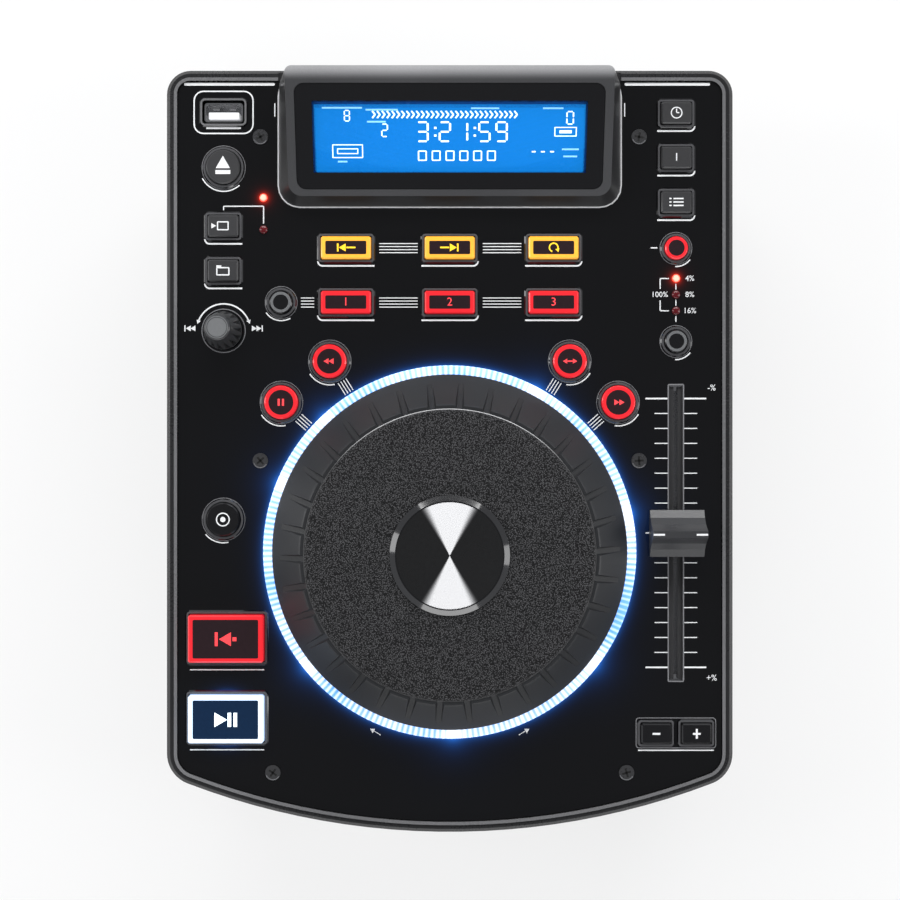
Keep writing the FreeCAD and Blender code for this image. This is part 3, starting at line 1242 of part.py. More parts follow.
# Power switch: a frame that snaps into the rear wall, and a rocker on two pins.
frame = rear_socket("power_switch", "switch_column")
pad(Drawing(frame, "(0 - rocker_frame_face)", plane="XZ_Plane").rectangle("rocker_frame_width",
                                                                         "rocker_frame_height", corner="1.5"),
    "rocker_frame_face")
pad(Drawing(frame, "0", plane="XZ_Plane").rectangle("rocker_body_width", "rocker_body_height"),
    "rocker_body_length")
pocket(Drawing(frame, "(0 - rocker_frame_face)", plane="XZ_Plane").rectangle("rocker_opening_width",
                                                                            "rocker_opening_height"),
       "(rocker_frame_face + rocker_body_length - 2)", reverse=True)
pin_seats = Drawing(frame, plane="YZ_Plane").circle("(rocker_pin_radius + spindle_gap)",
                                                    "(0 - rocker_axis_depth)", "0")
pocket(pin_seats, "(rocker_opening_width + 1.4)", middle=True)
# The rocker is as tall as its opening, less what it swings through and a running gap.
rocker = rear_socket("power_rocker", "switch_column")
ROCKER_NOSE = "(rocker_frame_face + rocker_proud)"
ROCKER_HALF = (f"(rocker_opening_height / 2 - ({ROCKER_NOSE} + rocker_axis_depth) * sin(rocker_swing)"
               " - rocker_swing_gap)")
rocker_side = Drawing(rocker, plane="YZ_Plane").polygon(
    ("(0 - rocker_axis_depth - 2)", "(0 - 2)"),
    (ROCKER_NOSE, f"(0 - {ROCKER_HALF})"),
    (f"({ROCKER_NOSE} - rocker_dish)", "0"),
    (ROCKER_NOSE, ROCKER_HALF),
    ("(0 - rocker_axis_depth - 2)", "2"),
)
pad(rocker_side, "(rocker_opening_width - 2 * rocker_gap)", middle=True)
pad(Drawing(rocker, plane="YZ_Plane").circle("rocker_pin_radius", "(0 - rocker_axis_depth)", "0"),
    "(rocker_opening_width + 1.2)", middle=True)

document.recompute()

# Every object has to be whole, and every cut has to take something away, before anything is written.
faults = []
CUTS = ("PartDesign::Pocket", "PartDesign::SubtractiveLoft")
for item in document.Objects:
    if "Invalid" in item.State or "Error" in item.State:
        faults.append(f"{item.Name}: {item.State}")
    elif item.TypeId in CUTS and (item.Shape.isNull() or item.BaseFeature.Shape.isNull()):
        faults.append(f"{item.Name} is empty")
    elif item.TypeId in CUTS and item.Shape.Volume > item.BaseFeature.Shape.Volume - 1e-3:
        faults.append(f"{item.Name} cuts nothing")
bodies = [item for item in document.Objects if item.TypeId == "PartDesign::Body"]
for body in bodies:
    if body.Shape.isNull() or not body.Shape.isValid():
        faults.append(f"{body.Label} has no valid shape")
if faults:
    raise RuntimeError("; ".join(faults))

os.makedirs("parts", exist_ok=True)
for body in bodies:
    body.Shape.exportStep(f"parts/{body.Label}.step")
print(len(bodies), "sub-parts")
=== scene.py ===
import bmesh
import bpy
from math import atan2, cos, pi, radians, sin
from mathutils import Matrix, Vector


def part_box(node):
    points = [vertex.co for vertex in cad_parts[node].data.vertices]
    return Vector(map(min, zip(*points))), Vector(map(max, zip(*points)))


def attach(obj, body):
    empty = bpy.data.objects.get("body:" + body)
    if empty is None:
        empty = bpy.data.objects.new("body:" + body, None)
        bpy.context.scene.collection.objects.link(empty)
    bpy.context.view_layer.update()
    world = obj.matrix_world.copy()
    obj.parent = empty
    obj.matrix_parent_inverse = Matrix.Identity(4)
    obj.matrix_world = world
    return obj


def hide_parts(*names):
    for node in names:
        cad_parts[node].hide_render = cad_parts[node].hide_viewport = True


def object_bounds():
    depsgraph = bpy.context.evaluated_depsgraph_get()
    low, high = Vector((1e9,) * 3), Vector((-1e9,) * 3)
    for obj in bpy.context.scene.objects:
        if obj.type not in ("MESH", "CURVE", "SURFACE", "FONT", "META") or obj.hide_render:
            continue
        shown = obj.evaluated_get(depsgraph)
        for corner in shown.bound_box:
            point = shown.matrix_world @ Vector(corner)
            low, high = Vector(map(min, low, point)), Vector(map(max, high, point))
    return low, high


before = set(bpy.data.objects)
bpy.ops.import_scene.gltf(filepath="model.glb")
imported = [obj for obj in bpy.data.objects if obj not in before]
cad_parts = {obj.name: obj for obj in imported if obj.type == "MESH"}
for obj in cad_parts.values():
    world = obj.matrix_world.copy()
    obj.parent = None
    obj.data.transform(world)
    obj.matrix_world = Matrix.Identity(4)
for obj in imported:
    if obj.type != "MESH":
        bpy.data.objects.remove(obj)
cad_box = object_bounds()
MM = 0.001

# Photographer's table: a white sweep under the player, a lens straight above it, and soft boxes.
# The sky is bright near the horizon and dark overhead, so that bevels shine and the gloss panel stays black.
scene = bpy.context.scene
scene.view_settings.view_transform = "Standard"
CAMERA_HEIGHT = 0.68
LENS = 64
SWEEP = 6.0
HORIZON_LIGHT = 1.0
ZENITH_LIGHT = 0.16


def new_material(name, color=(0.5, 0.5, 0.5), roughness=0.5, metallic=0.0, coat=0.0):
    material = bpy.data.materials.new(name)
    material.use_nodes = True
    shader = material.node_tree.nodes["Principled BSDF"]
    shader.inputs["Base Color"].default_value = (*color, 1)
    shader.inputs["Roughness"].default_value = roughness
    shader.inputs["Metallic"].default_value = metallic
    shader.inputs["Coat Weight"].default_value = coat
    shader.inputs["Coat Roughness"].default_value = 0.05
    return material


def node(owner, kind, **values):
    """Adds a node to a material, a world or a node group."""
    tree = getattr(owner, "node_tree", owner)
    made = tree.nodes.new(kind)
    for name, setting in values.items():
        setattr(made, name, setting)
    return made


def link(owner, source, target):
    getattr(owner, "node_tree", owner).links.new(source, target)


def graded(owner, start=0.0, end=1.0, low=0.0, high=1.0, **values):
    """Adds a node that goes from low to high while its value goes from start to end."""
    made = node(owner, "ShaderNodeMapRange", **values)
    for socket, level in (("From Min", start), ("From Max", end), ("To Min", low), ("To Max", high)):
        made.inputs[socket].default_value = level
    return made


def shader_of(material):
    return material.node_tree.nodes["Principled BSDF"]


def keep(mesh, name, material, smooth=None, body=None):
    """Makes an object of a finished bmesh, in place, with its own material, riding on a body."""
    bmesh.ops.recalc_face_normals(mesh, faces=mesh.faces)
    data = bpy.data.meshes.new(name)
    mesh.to_mesh(data)
    mesh.free()
    piece = bpy.data.objects.new(name, data)
    scene.collection.objects.link(piece)
    data.materials.append(material)
    if smooth is not None:
        data.polygons.foreach_set("use_smooth", [True] * len(data.polygons))
        data.set_sharp_from_angle(angle=radians(smooth))
    if body:
        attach(piece, body)
    return piece


sweep_paint = new_material("sweep_paint", (0.86, 0.86, 0.86), 0.9)
sweep_seen = node(sweep_paint, "ShaderNodeEmission")
sweep_seen.inputs["Color"].default_value = (1, 1, 1, 1)
path = node(sweep_paint, "ShaderNodeLightPath")
seen = node(sweep_paint, "ShaderNodeMath", operation="ADD", use_clamp=True)
share = node(sweep_paint, "ShaderNodeMath", operation="MULTIPLY")
share.inputs[1].default_value = 0.72
either = node(sweep_paint, "ShaderNodeMixShader")
link(sweep_paint, path.outputs["Is Camera Ray"], seen.inputs[0])
link(sweep_paint, path.outputs["Is Glossy Ray"], seen.inputs[1])
link(sweep_paint, seen.outputs[0], share.inputs[0])
link(sweep_paint, share.outputs[0], either.inputs[0])
link(sweep_paint, shader_of(sweep_paint).outputs[0], either.inputs[1])
link(sweep_paint, sweep_seen.outputs[0], either.inputs[2])
link(sweep_paint, either.outputs[0], sweep_paint.node_tree.nodes["Material Output"].inputs["Surface"])
floor = bmesh.new()
bmesh.ops.create_grid(floor, x_segments=1, y_segments=1, size=SWEEP / 2)
keep(floor, "floor", sweep_paint)

world = bpy.data.worlds.new("studio")
scene.world = world
world.use_nodes = True
sky_place = node(world, "ShaderNodeTexCoord")
sky_split = node(world, "ShaderNodeSeparateXYZ")
sky_fade = graded(world, start=0.12, end=0.62, low=HORIZON_LIGHT, high=ZENITH_LIGHT)
link(world, sky_place.outputs["Generated"], sky_split.inputs[0])
link(world, sky_split.outputs["Z"], sky_fade.inputs["Value"])
link(world, sky_fade.outputs[0], world.node_tree.nodes["Background"].inputs["Strength"])
world.node_tree.nodes["Background"].inputs["Color"].default_value = (0.93, 0.95, 1, 1)


def soft_box(name, place, aim, size, power):
    lamp = bpy.data.lights.new(name, "AREA")
    lamp.shape = "RECTANGLE"
    lamp.size, lamp.size_y = size
    lamp.energy = power
    holder = bpy.data.objects.new(name, lamp)
    holder.location = place
    holder.rotation_euler = (Vector(aim) - Vector(place)).to_track_quat("-Z", "Y").to_euler()
    scene.collection.objects.link(holder)
    return holder


soft_box("rear_box", (0.0, 1.0, 0.75), (0, 0.0, 0.08), (1.5, 0.35), 15)
soft_box("left_box", (-1.1, 0.15, 0.6), (0, 0, 0.08), (0.4, 1.2), 7)
soft_box("right_box", (1.1, -0.1, 0.6), (0, 0, 0.08), (0.4, 1.2), 6)
soft_box("front_box", (0.0, -1.2, 0.5), (0, 0, 0.06), (1.2, 0.3), 5)

lens = bpy.data.cameras.new("camera")
lens.lens = LENS
camera = bpy.data.objects.new("camera", lens)
camera.location = (0.0001, 0.0005, CAMERA_HEIGHT)
scene.collection.objects.link(camera)
scene.camera = camera


# Upper case: one satin black moulding with a fine spark-eroded grain, clipped over the chassis.
# The grain, and how colour and gloss drift over a surface, is one effect that most finishes share.
def group_socket(group, name, kind, direction="INPUT"):
    return group.interface.new_socket(name=name, in_out=direction, socket_type=f"NodeSocket{kind}")


moulded_surface = bpy.data.node_groups.new("moulded_surface", "ShaderNodeTree")
for socket, kind in (("Color", "Color"), ("Drift", "Float"), ("Roughness", "Float"), ("Grain", "Float"),
                     ("Relief", "Float")):
    group_socket(moulded_surface, socket, kind)
for socket, kind in (("Color", "Color"), ("Roughness", "Float"), ("Normal", "Vector")):
    group_socket(moulded_surface, socket, kind, "OUTPUT")
grain_in = node(moulded_surface, "NodeGroupInput")
grain_out = node(moulded_surface, "NodeGroupOutput")
grain_place = node(moulded_surface, "ShaderNodeTexCoord")
grain_fine = node(moulded_surface, "ShaderNodeTexNoise")
grain_fine.inputs["Detail"].default_value = 3
grain_broad = node(moulded_surface, "ShaderNodeTexNoise")
grain_broad.inputs["Scale"].default_value = 14
for texture in (grain_fine, grain_broad):
    link(moulded_surface, grain_place.outputs["Object"], texture.inputs["Vector"])
link(moulded_surface, grain_in.outputs["Grain"], grain_fine.inputs["Scale"])
grain_both = node(moulded_surface, "ShaderNodeMath", operation="MULTIPLY_ADD")
link(moulded_surface, grain_fine.outputs["Fac"], grain_both.inputs[0])
grain_both.inputs[1].default_value = 0.6
link(moulded_surface, grain_broad.outputs["Fac"], grain_both.inputs[2])
grain_shift = node(moulded_surface, "ShaderNodeMath", operation="SUBTRACT")
link(moulded_surface, grain_both.outputs[0], grain_shift.inputs[0])
grain_shift.inputs[1].default_value = 0.8
grain_tint = node(moulded_surface, "ShaderNodeMath", operation="MULTIPLY_ADD")
link(moulded_surface, grain_shift.outputs[0], grain_tint.inputs[0])
link(moulded_surface, grain_in.outputs["Drift"], grain_tint.inputs[1])
grain_tint.inputs[2].default_value = 1
grain_shade = node(moulded_surface, "ShaderNodeVectorMath", operation="SCALE")
link(moulded_surface, grain_in.outputs["Color"], grain_shade.inputs[0])
link(moulded_surface, grain_tint.outputs[0], grain_shade.inputs["Scale"])
link(moulded_surface, grain_shade.outputs[0], grain_out.inputs["Color"])
grain_gloss = node(moulded_surface, "ShaderNodeMath", operation="MULTIPLY_ADD")
link(moulded_surface, grain_shift.outputs[0], grain_gloss.inputs[0])
grain_gloss.inputs[1].default_value = 0.12
link(moulded_surface, grain_in.outputs["Roughness"], grain_gloss.inputs[2])
link(moulded_surface, grain_gloss.outputs[0], grain_out.inputs["Roughness"])
grain_bump = node(moulded_surface, "ShaderNodeBump")
grain_bump.inputs["Distance"].default_value = 0.0002
link(moulded_surface, grain_in.outputs["Relief"], grain_bump.inputs["Strength"])
link(moulded_surface, grain_fine.outputs["Fac"], grain_bump.inputs["Height"])
link(moulded_surface, grain_bump.outputs[0], grain_out.inputs["Normal"])


def finish(name, color, roughness, grain=900.0, relief=0.06, drift=0.5, metallic=0.0, coat=0.0, glow=None):
    """A material of the shared grain; glow is a share of its own colour that it gives off."""
    material = new_material(name, color, roughness, metallic, coat)
    surface = node(material, "ShaderNodeGroup")
    surface.node_tree = moulded_surface
    surface.name = "surface"
    for socket, amount in (("Color", (*color, 1)), ("Drift", drift), ("Roughness", roughness), ("Grain", grain),
                           ("Relief", relief)):
        surface.inputs[socket].default_value = amount
    for socket, target in (("Color", "Base Color"), ("Roughness", "Roughness"), ("Normal", "Normal")):
        link(material, surface.outputs[socket], shader_of(material).inputs[target])
    if glow:
        link(material, surface.outputs["Color"], shader_of(material).inputs["Emission Color"])
        shader_of(material).inputs["Emission Strength"].default_value = glow
    return material


def paint(names, material):
    for name in names:
        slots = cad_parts[name].data.materials
        slots.clear()
        slots.append(material)


def blended(material, low_color, high_color, axis, start, end, target="Base Color"):
    """Changes a colour along one axis of the player, between two places in metres."""
    place = node(material, "ShaderNodeTexCoord")
    split = node(material, "ShaderNodeSeparateXYZ")
    share = graded(material, start=start, end=end, interpolation_type="SMOOTHSTEP")
    mixed = node(material, "ShaderNodeMix", data_type="RGBA")
    mixed.inputs["A"].default_value = (*low_color, 1)
    mixed.inputs["B"].default_value = (*high_color, 1)
    link(material, place.outputs["Object"], split.inputs[0])
    link(material, split.outputs[axis], share.inputs["Value"])
    link(material, share.outputs[0], mixed.inputs["Factor"])
    if isinstance(target, str):
        target = shader_of(material).inputs[target]
    link(material, mixed.outputs["Result"], target)
    return material


# The top of the bead along the inner edge of the rim is painted paler, a painted highlight that shows as a thin line
# round the panel.
case_plastic = finish("case_plastic", (0.022, 0.022, 0.023), 0.28, 1400, 0.05)
BEAD_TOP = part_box("upper_case")[1][2]
blended(case_plastic, (0.02, 0.02, 0.021), (0.16, 0.16, 0.165), "Z", BEAD_TOP - 0.35 * MM, BEAD_TOP - 0.1 * MM,
        case_plastic.node_tree.nodes["surface"].inputs["Color"])
paint(["upper_case"], case_plastic)

# Chassis, rubber feet and slot trim: powder coated steel pan, moulded feet glued under it, and a frame
# with two felt lips that wipe a disc as it goes in.
paint(["bottom_chassis", "power_switch", "slot_trim"], finish("powder_coat", (0.018, 0.018, 0.019), 0.48, 1500, 0.3))
paint(["rubber_feet", "loading_roller"], finish("foot_rubber", (0.02, 0.02, 0.02), 0.85, 700, 0.25))
FELT_SPAN = 61.5
FELT_THICK = 1.2
FELT_REACH = 2.1
FELT_SETBACK = 2.6
BOW_RADIUS = 276
slot_low, slot_high = (Vector(corner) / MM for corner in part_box("slot_trim"))
slot_middle = (slot_low.z + slot_high.z) / 2
FELT_LIFT = 2.45
bow_middle = cad_box[0][1] / MM + BOW_RADIUS
felt_radius = bow_middle - slot_low.y - FELT_SETBACK
felt = bmesh.new()
for side in (1, -1):
    near = slot_middle + side * FELT_LIFT
    far = near - side * FELT_REACH
    corners = [(-felt_radius, near), (-felt_radius, far), (FELT_THICK - felt_radius, far),
               (FELT_THICK - felt_radius, near)]
    lean = FELT_SPAN / felt_radius
    turn = Matrix.Translation((0, bow_middle, 0)) @ Matrix.Rotation(-lean, 4, "Z")
    edge = [felt.verts.new(turn @ Vector((0, y, z))) for y, z in corners]
    lip = felt.faces.new(edge)
    made = bmesh.ops.spin(felt, geom=[lip], cent=(0, bow_middle, 0), axis=(0, 0, 1), angle=2 * lean, steps=36)
bmesh.ops.scale(felt, vec=(MM, MM, MM), verts=felt.verts)
felt_cloth = finish("slot_felt", (0.025, 0.025, 0.027), 0.95, 2600, 0.9)
keep(felt, "slot_felt", felt_cloth, body="case")


def middle(name):
    """The middle of a node in plan, in millimetres."""
    low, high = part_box(name)
    return (low[0] + high[0]) / 2 / MM, (low[1] + high[1]) / 2 / MM


def half(name):
    low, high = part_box(name)
    return (high[0] - low[0]) / 2 / MM, (high[1] - low[1]) / 2 / MM


def top(name):
    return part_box(name)[1][2] / MM


# Face plate: a gloss black panel with a moulded collar round each key. The light that the jog ring, the lamps
# and the play key spill over it is painted into the panel's emission as a soft halo.
COLLAR_RISE = 0.7
PANEL = top("face_plate") - COLLAR_RISE
JOG = middle("light_ring")
RING_OUTER = half("light_ring")[0]
SPILL_BLUE = (0.02, 0.2, 0.9)
SPILL_RED = (0.9, 0.03, 0.01)

halo = bpy.data.node_groups.new("halo", "ShaderNodeTree")
for socket, kind in (("Middle", "Vector"), ("Edge", "Float"), ("Reach", "Float"), ("Strength", "Float")):
    group_socket(halo, socket, kind)
group_socket(halo, "Light", "Float", "OUTPUT")
halo_in = node(halo, "NodeGroupInput")
halo_out = node(halo, "NodeGroupOutput")
halo_place = node(halo, "ShaderNodeTexCoord")
halo_away = node(halo, "ShaderNodeVectorMath", operation="DISTANCE")
link(halo, halo_place.outputs["Object"], halo_away.inputs[0])
link(halo, halo_in.outputs["Middle"], halo_away.inputs[1])
halo_over = node(halo, "ShaderNodeMath", operation="SUBTRACT")
link(halo, halo_away.outputs["Value"], halo_over.inputs[0])
link(halo, halo_in.outputs["Edge"], halo_over.inputs[1])
halo_clear = node(halo, "ShaderNodeMath", operation="ABSOLUTE")
link(halo, halo_over.outputs[0], halo_clear.inputs[0])
halo_ratio = node(halo, "ShaderNodeMath", operation="DIVIDE")
link(halo, halo_clear.outputs[0], halo_ratio.inputs[0])
link(halo, halo_in.outputs["Reach"], halo_ratio.inputs[1])
halo_base = node(halo, "ShaderNodeMath", operation="ADD")
link(halo, halo_ratio.outputs[0], halo_base.inputs[0])
halo_base.inputs[1].default_value = 1
halo_fall = node(halo, "ShaderNodeMath", operation="POWER")
link(halo, halo_base.outputs[0], halo_fall.inputs[0])
halo_fall.inputs[1].default_value = -4
halo_scale = node(halo, "ShaderNodeMath", operation="MULTIPLY")
link(halo, halo_fall.outputs[0], halo_scale.inputs[0])
link(halo, halo_in.outputs["Strength"], halo_scale.inputs[1])
link(halo, halo_scale.outputs[0], halo_out.inputs["Light"])


def spill(material, sources, color):
    """Adds up halos, each a middle, an edge radius, a reach and a strength in millimetres."""
    total = None
    for x, y, edge, reach, strength in sources:
        one = node(material, "ShaderNodeGroup")
        one.node_tree = halo
        one.inputs["Middle"].default_value = (x * MM, y * MM, PANEL * MM)
        one.inputs["Edge"].default_value = edge * MM
        one.inputs["Reach"].default_value = reach * MM
        one.inputs["Strength"].default_value = strength
        if total is None:
            total = one.outputs[0]
            continue
        both = node(material, "ShaderNodeMath", operation="ADD")
        link(material, total, both.inputs[0])
        link(material, one.outputs[0], both.inputs[1])
        total = both.outputs[0]
    tinted = node(material, "ShaderNodeVectorMath", operation="SCALE")
    tinted.inputs[0].default_value = color
    link(material, total, tinted.inputs["Scale"])
    return tinted.outputs[0]


RING_LAMPS = [radians(angle) for angle in (158, 219, 271, 322, 12, 133, 62)]
SOURCE_LAMP = (-69.8, 95.0)
RANGE_LAMP = (84.8, 64.8)
lamp_reach = RING_OUTER - 1.5
blue_sources = [(*JOG, RING_OUTER, 3.2, 0.42)]
blue_sources += [(JOG[0] + lamp_reach * cos(a), JOG[1] + lamp_reach * sin(a), 0, 4.6, 1.7) for a in RING_LAMPS]
blue_sources.append((*middle("play_button"), 10.5, 3.0, 0.12))
red_sources = [(*SOURCE_LAMP, 1.4, 1.6, 1.0), (*RANGE_LAMP, 1.4, 1.6, 1.0)]
gloss_panel = finish("gloss_panel", (0.003, 0.003, 0.0035), 0.06, 60, 0.0, 0.2, coat=0.2)
# Painted light: the blue and red halos glow from the panel itself.
both_spills = node(gloss_panel, "ShaderNodeVectorMath", operation="ADD")
link(gloss_panel, spill(gloss_panel, blue_sources, SPILL_BLUE), both_spills.inputs[0])
link(gloss_panel, spill(gloss_panel, red_sources, SPILL_RED), both_spills.inputs[1])
link(gloss_panel, both_spills.outputs[0], shader_of(gloss_panel).inputs["Emission Color"])
shader_of(gloss_panel).inputs["Emission Strength"].default_value = 1.0
paint(["face_plate"], gloss_panel)


# Screen printing on the face plate: thin white ink for the outlines, links, scales and figures, and in the same
# white, painted reflections under the keys' collars.
# A layer of ink is drawn flat in millimetres and becomes one thin piece.
class Ink:
    def __init__(self, level):
        self.level = level
        self.mesh = bmesh.new()

    def add(self, shape, x=0, y=0, turn=0.0):
        data = bpy.data.meshes.new("stroke")
        shape.to_mesh(data)
        shape.free()
        data.transform(Matrix.Translation((x, y, 0)) @ Matrix.Rotation(turn, 4, "Z"))
        self.mesh.from_mesh(data)
        bpy.data.meshes.remove(data)
        return self

    def outlined(self, shape, line):
        """Keeps only a line of a filled shape, along its edge."""
        if line:
            inner = shape.faces[:]
            bmesh.ops.inset_region(shape, faces=inner, thickness=line, use_even_offset=True, use_boundary=True)
            bmesh.ops.delete(shape, geom=inner, context="FACES")
        return shape

    def block(self, x, y, width, depth, corner=0.0, line=0.0, turn=0.0):
        shape = bmesh.new()
        spread = Matrix.Diagonal((width, depth, 1, 1))
        bmesh.ops.create_grid(shape, x_segments=1, y_segments=1, size=0.5, matrix=spread)
        if corner:
            bmesh.ops.bevel(shape, geom=shape.verts[:], offset=corner, affect="VERTICES", segments=5, profile=0.5,
                            material=-1)
        return self.add(self.outlined(shape, line), x, y, turn)

    def disc(self, x, y, radius, line=0.0, sides=40, turn=0.0):
        shape = bmesh.new()
        bmesh.ops.create_circle(shape, cap_ends=True, segments=sides, radius=radius)
        return self.add(self.outlined(shape, line), x, y, turn)

    def stroke(self, start, end, width):
        along = Vector(end) - Vector(start)
        mid = (Vector(start) + Vector(end)) / 2
        return self.block(mid.x, mid.y, along.length, width, turn=atan2(along.y, along.x))

    def arc(self, x, y, radius, width, start, end):
        """A curved line, from one angle to another in degrees."""
        shape = bmesh.new()
        first = Matrix.Rotation(radians(start), 4, "Z")
        ends = [shape.verts.new(first @ Vector((radius + side * width / 2, 0, 0))) for side in (-1, 1)]
        edge = shape.edges.new(ends)
        swing = radians(end - start)
        bmesh.ops.spin(shape, geom=[*ends, edge], cent=(0, 0, 0), axis=(0, 0, 1), angle=swing,
                       steps=max(4, round(abs(swing) * 14)))
        return self.add(shape, x, y)

    def pointer(self, x, y, size, turn):
        """A small solid triangle that points at an angle in degrees."""
        return self.disc(x, y, size, sides=3, turn=radians(turn) - pi / 2)

    def figure(self, text, x, y, size):
        curve = bpy.data.curves.new("figure", "FONT")
        curve.body = text
        curve.size = size
        curve.resolution_u = 3
        curve.align_x = "CENTER"
        curve.align_y = "CENTER"
        holder = bpy.data.objects.new("figure", curve)
        flat = bpy.data.meshes.new_from_object(holder)
        shape = bmesh.new()
        shape.from_mesh(flat)
        bmesh.ops.remove_doubles(shape, verts=shape.verts, dist=0.0005)
        bpy.data.objects.remove(holder)
        bpy.data.curves.remove(curve)
        bpy.data.meshes.remove(flat)
        return self.add(shape, x, y)

    def done(self, name, material, body, thickness=0.04, placed=None):
        grown = bmesh.ops.extrude_face_region(self.mesh, geom=self.mesh.faces[:], use_keep_orig=True)
        risen = [item for item in grown["geom"] if isinstance(item, bmesh.types.BMVert)]
        bmesh.ops.translate(self.mesh, vec=(0, 0, thickness), verts=risen)
        bmesh.ops.translate(self.mesh, vec=(0, 0, self.level), verts=self.mesh.verts)
        bmesh.ops.scale(self.mesh, vec=(MM, MM, MM), verts=self.mesh.verts)
        if placed:
            bmesh.ops.transform(self.mesh, matrix=placed, verts=self.mesh.verts)
        return keep(self.mesh, name, material, body=body)


# The white ink is also given a faint glow of its own, which is painted light.
WHITE_INK_AND_GLINT = finish("white_ink_and_glint", (0.82, 0.83, 0.84), 0.42, 2200, 0.1, 0.12, glow=0.12)
GREY_INK = finish("grey_ink", (0.2, 0.2, 0.21), 0.4, 2200, 0.1, 0.2)
print_and_glint = Ink(PANEL)
greys = Ink(PANEL)
FINE = 0.33
BOLD = 0.6
COLLAR = 1.6
LEFT = middle("source_button")[0]
UNDER_GAP = 1.55


def underline(name, curl):
    """A painted reflection under a square key's collar: a line that turns up at one end."""
    x, y = middle(name)
    wide, deep = half(name)
    reach, low, turn_up = wide + 0.4, y - deep - UNDER_GAP, 1.8
    from_x = x - reach + (turn_up if curl < 0 else 0)
    to_x = x + reach - (turn_up if curl > 0 else 0)
    print_and_glint.stroke((from_x, low), (to_x, low), BOLD)
    start = 180 if curl < 0 else 270
    print_and_glint.arc(x + curl * (reach - turn_up), low + turn_up, turn_up, BOLD, start, start + 90)


for name in ("source_button", "folder_button"):
    underline(name, -1)
for name in ("time_button", "single_button", "program_button", "reloop_button", "hot_cue_3_button",
             "loop_out_button", "hot_cue_2_button"):
    underline(name, 1)
for name in ("loop_in_button", "hot_cue_1_button"):
    underline(name, -1)
# Painted reflections: a straight line under the collars of the cue and play keys.
for name in ("cue_button", "play_button"):
    x, y = middle(name)
    wide, deep = half(name)
    print_and_glint.block(x, y - deep - 2.3, 2 * wide - 2, 0.4)

# Painted reflections: an arc on the lower side of each round key's collar.
ROUND_GLINT_ARCS = {"eject_button": (207, 312), "record_button": (214, 300), "tap_button": (220, 282),
               "brake_button": (212, 280), "reverse_button": (212, 282), "scratch_button": (262, 330),
               "search_button": (262, 330), "master_tempo_button": (268, 322), "pitch_range_button": (268, 322)}
for name, (start, end) in ROUND_GLINT_ARCS.items():
    print_and_glint.arc(*middle(name), half(name)[1] + COLLAR + 0.9, 0.45, start, end)
    greys.disc(*middle(name), half(name)[1] + COLLAR + 0.25, line=0.3, sides=56)

# Links of four fine lines between the keys of a row, and from the effect keys to the jog ring.
LINK_PITCH = 1.14
LINK_STEPS = (-1.5, -0.5, 0.5, 1.5)
for first, second in (("loop_in_button", "loop_out_button"), ("loop_out_button", "reloop_button"),
                      ("hot_cue_1_button", "hot_cue_2_button"), ("hot_cue_2_button", "hot_cue_3_button"),
                      ("record_button", "hot_cue_1_button")):
    start = middle(first)[0] + half(first)[0] + COLLAR + 0.6
    end = middle(second)[0] - half(second)[0] - COLLAR - 0.2
    for step in LINK_STEPS:
        y = middle(first)[1] + step * LINK_PITCH
        print_and_glint.stroke((start, y), (end, y), FINE)
for name in ("brake_button", "reverse_button", "scratch_button", "search_button"):
    key = Vector(middle(name))
    inward = (Vector(JOG) - key).normalized()
    across = Vector((-inward.y, inward.x))
    for step in LINK_STEPS:
        side = key + across * step * LINK_PITCH
        print_and_glint.stroke(side + inward * 8.6, side + inward * (key - Vector(JOG)).length * 0.163, FINE)

# Frame round the stick socket, brackets of the lamps, arc over the track knob and its skip marks.
STICK = middle("stick_socket")
print_and_glint.block(STICK[0], STICK[1], 22.6, 16.3, corner=3.7, line=0.5)
print_and_glint.block(STICK[0], STICK[1] - 5.9, 13.0, 0.7)
source_y = middle("source_button")[1]
bracket_y = source_y + 7.6
print_and_glint.stroke((LEFT, source_y + 6.1), (LEFT, bracket_y), 0.4)
print_and_glint.stroke((LEFT, bracket_y), (SOURCE_LAMP[0], bracket_y), 0.4)
print_and_glint.stroke((SOURCE_LAMP[0], bracket_y), (SOURCE_LAMP[0], SOURCE_LAMP[1] - 9.6), 0.4)
KNOB = middle("track_knob")
print_and_glint.arc(*KNOB, 10.1, 0.55, 22, 158)
print_and_glint.pointer(KNOB[0] - 9.5, KNOB[1] + 3.5, 0.95, 250)
print_and_glint.pointer(KNOB[0] + 9.5, KNOB[1] + 3.5, 0.95, 290)
for side in (-1, 1):
    for step in (0, 1):
        print_and_glint.pointer(KNOB[0] + side * (11.2 + 1.75 * step), KNOB[1] + 0.9, 1.25, 90 - side * 90)
    print_and_glint.block(KNOB[0] + side * 14.5, KNOB[1] + 0.9, 0.45, 2.3)
greys.disc(*KNOB, 8.3, line=0.35, sides=60)

# Pitch range lamps: links, bracket and percent figures, and the dash beside the key lock key.
RANGE_STEP = 6.05
range_ys = [RANGE_LAMP[1] - RANGE_STEP * step for step in range(3)]
for y in range_ys:
    print_and_glint.stroke((RANGE_LAMP[0], y - 1.9), (RANGE_LAMP[0], y - RANGE_STEP + 1.9), 0.4)
BRACKET_X = RANGE_LAMP[0] - 5.9
for y, reach in ((range_ys[0], -3.9), (range_ys[2], 3.9)):
    print_and_glint.stroke((BRACKET_X, y), (BRACKET_X + 3.3, y), 0.4)
    print_and_glint.stroke((BRACKET_X, y), (BRACKET_X, y + reach), 0.4)
for text, y in zip(("4%", "8%", "16%"), range_ys):
    print_and_glint.figure(text, RANGE_LAMP[0] + 5.2, y, 2.9)
print_and_glint.figure("100%", BRACKET_X - 0.2, range_ys[1], 2.9)
tempo = middle("master_tempo_button")
print_and_glint.stroke((tempo[0] - 9.4, tempo[1] + 0.2), (tempo[0] - 7.0, tempo[1] + 0.2), 0.45)

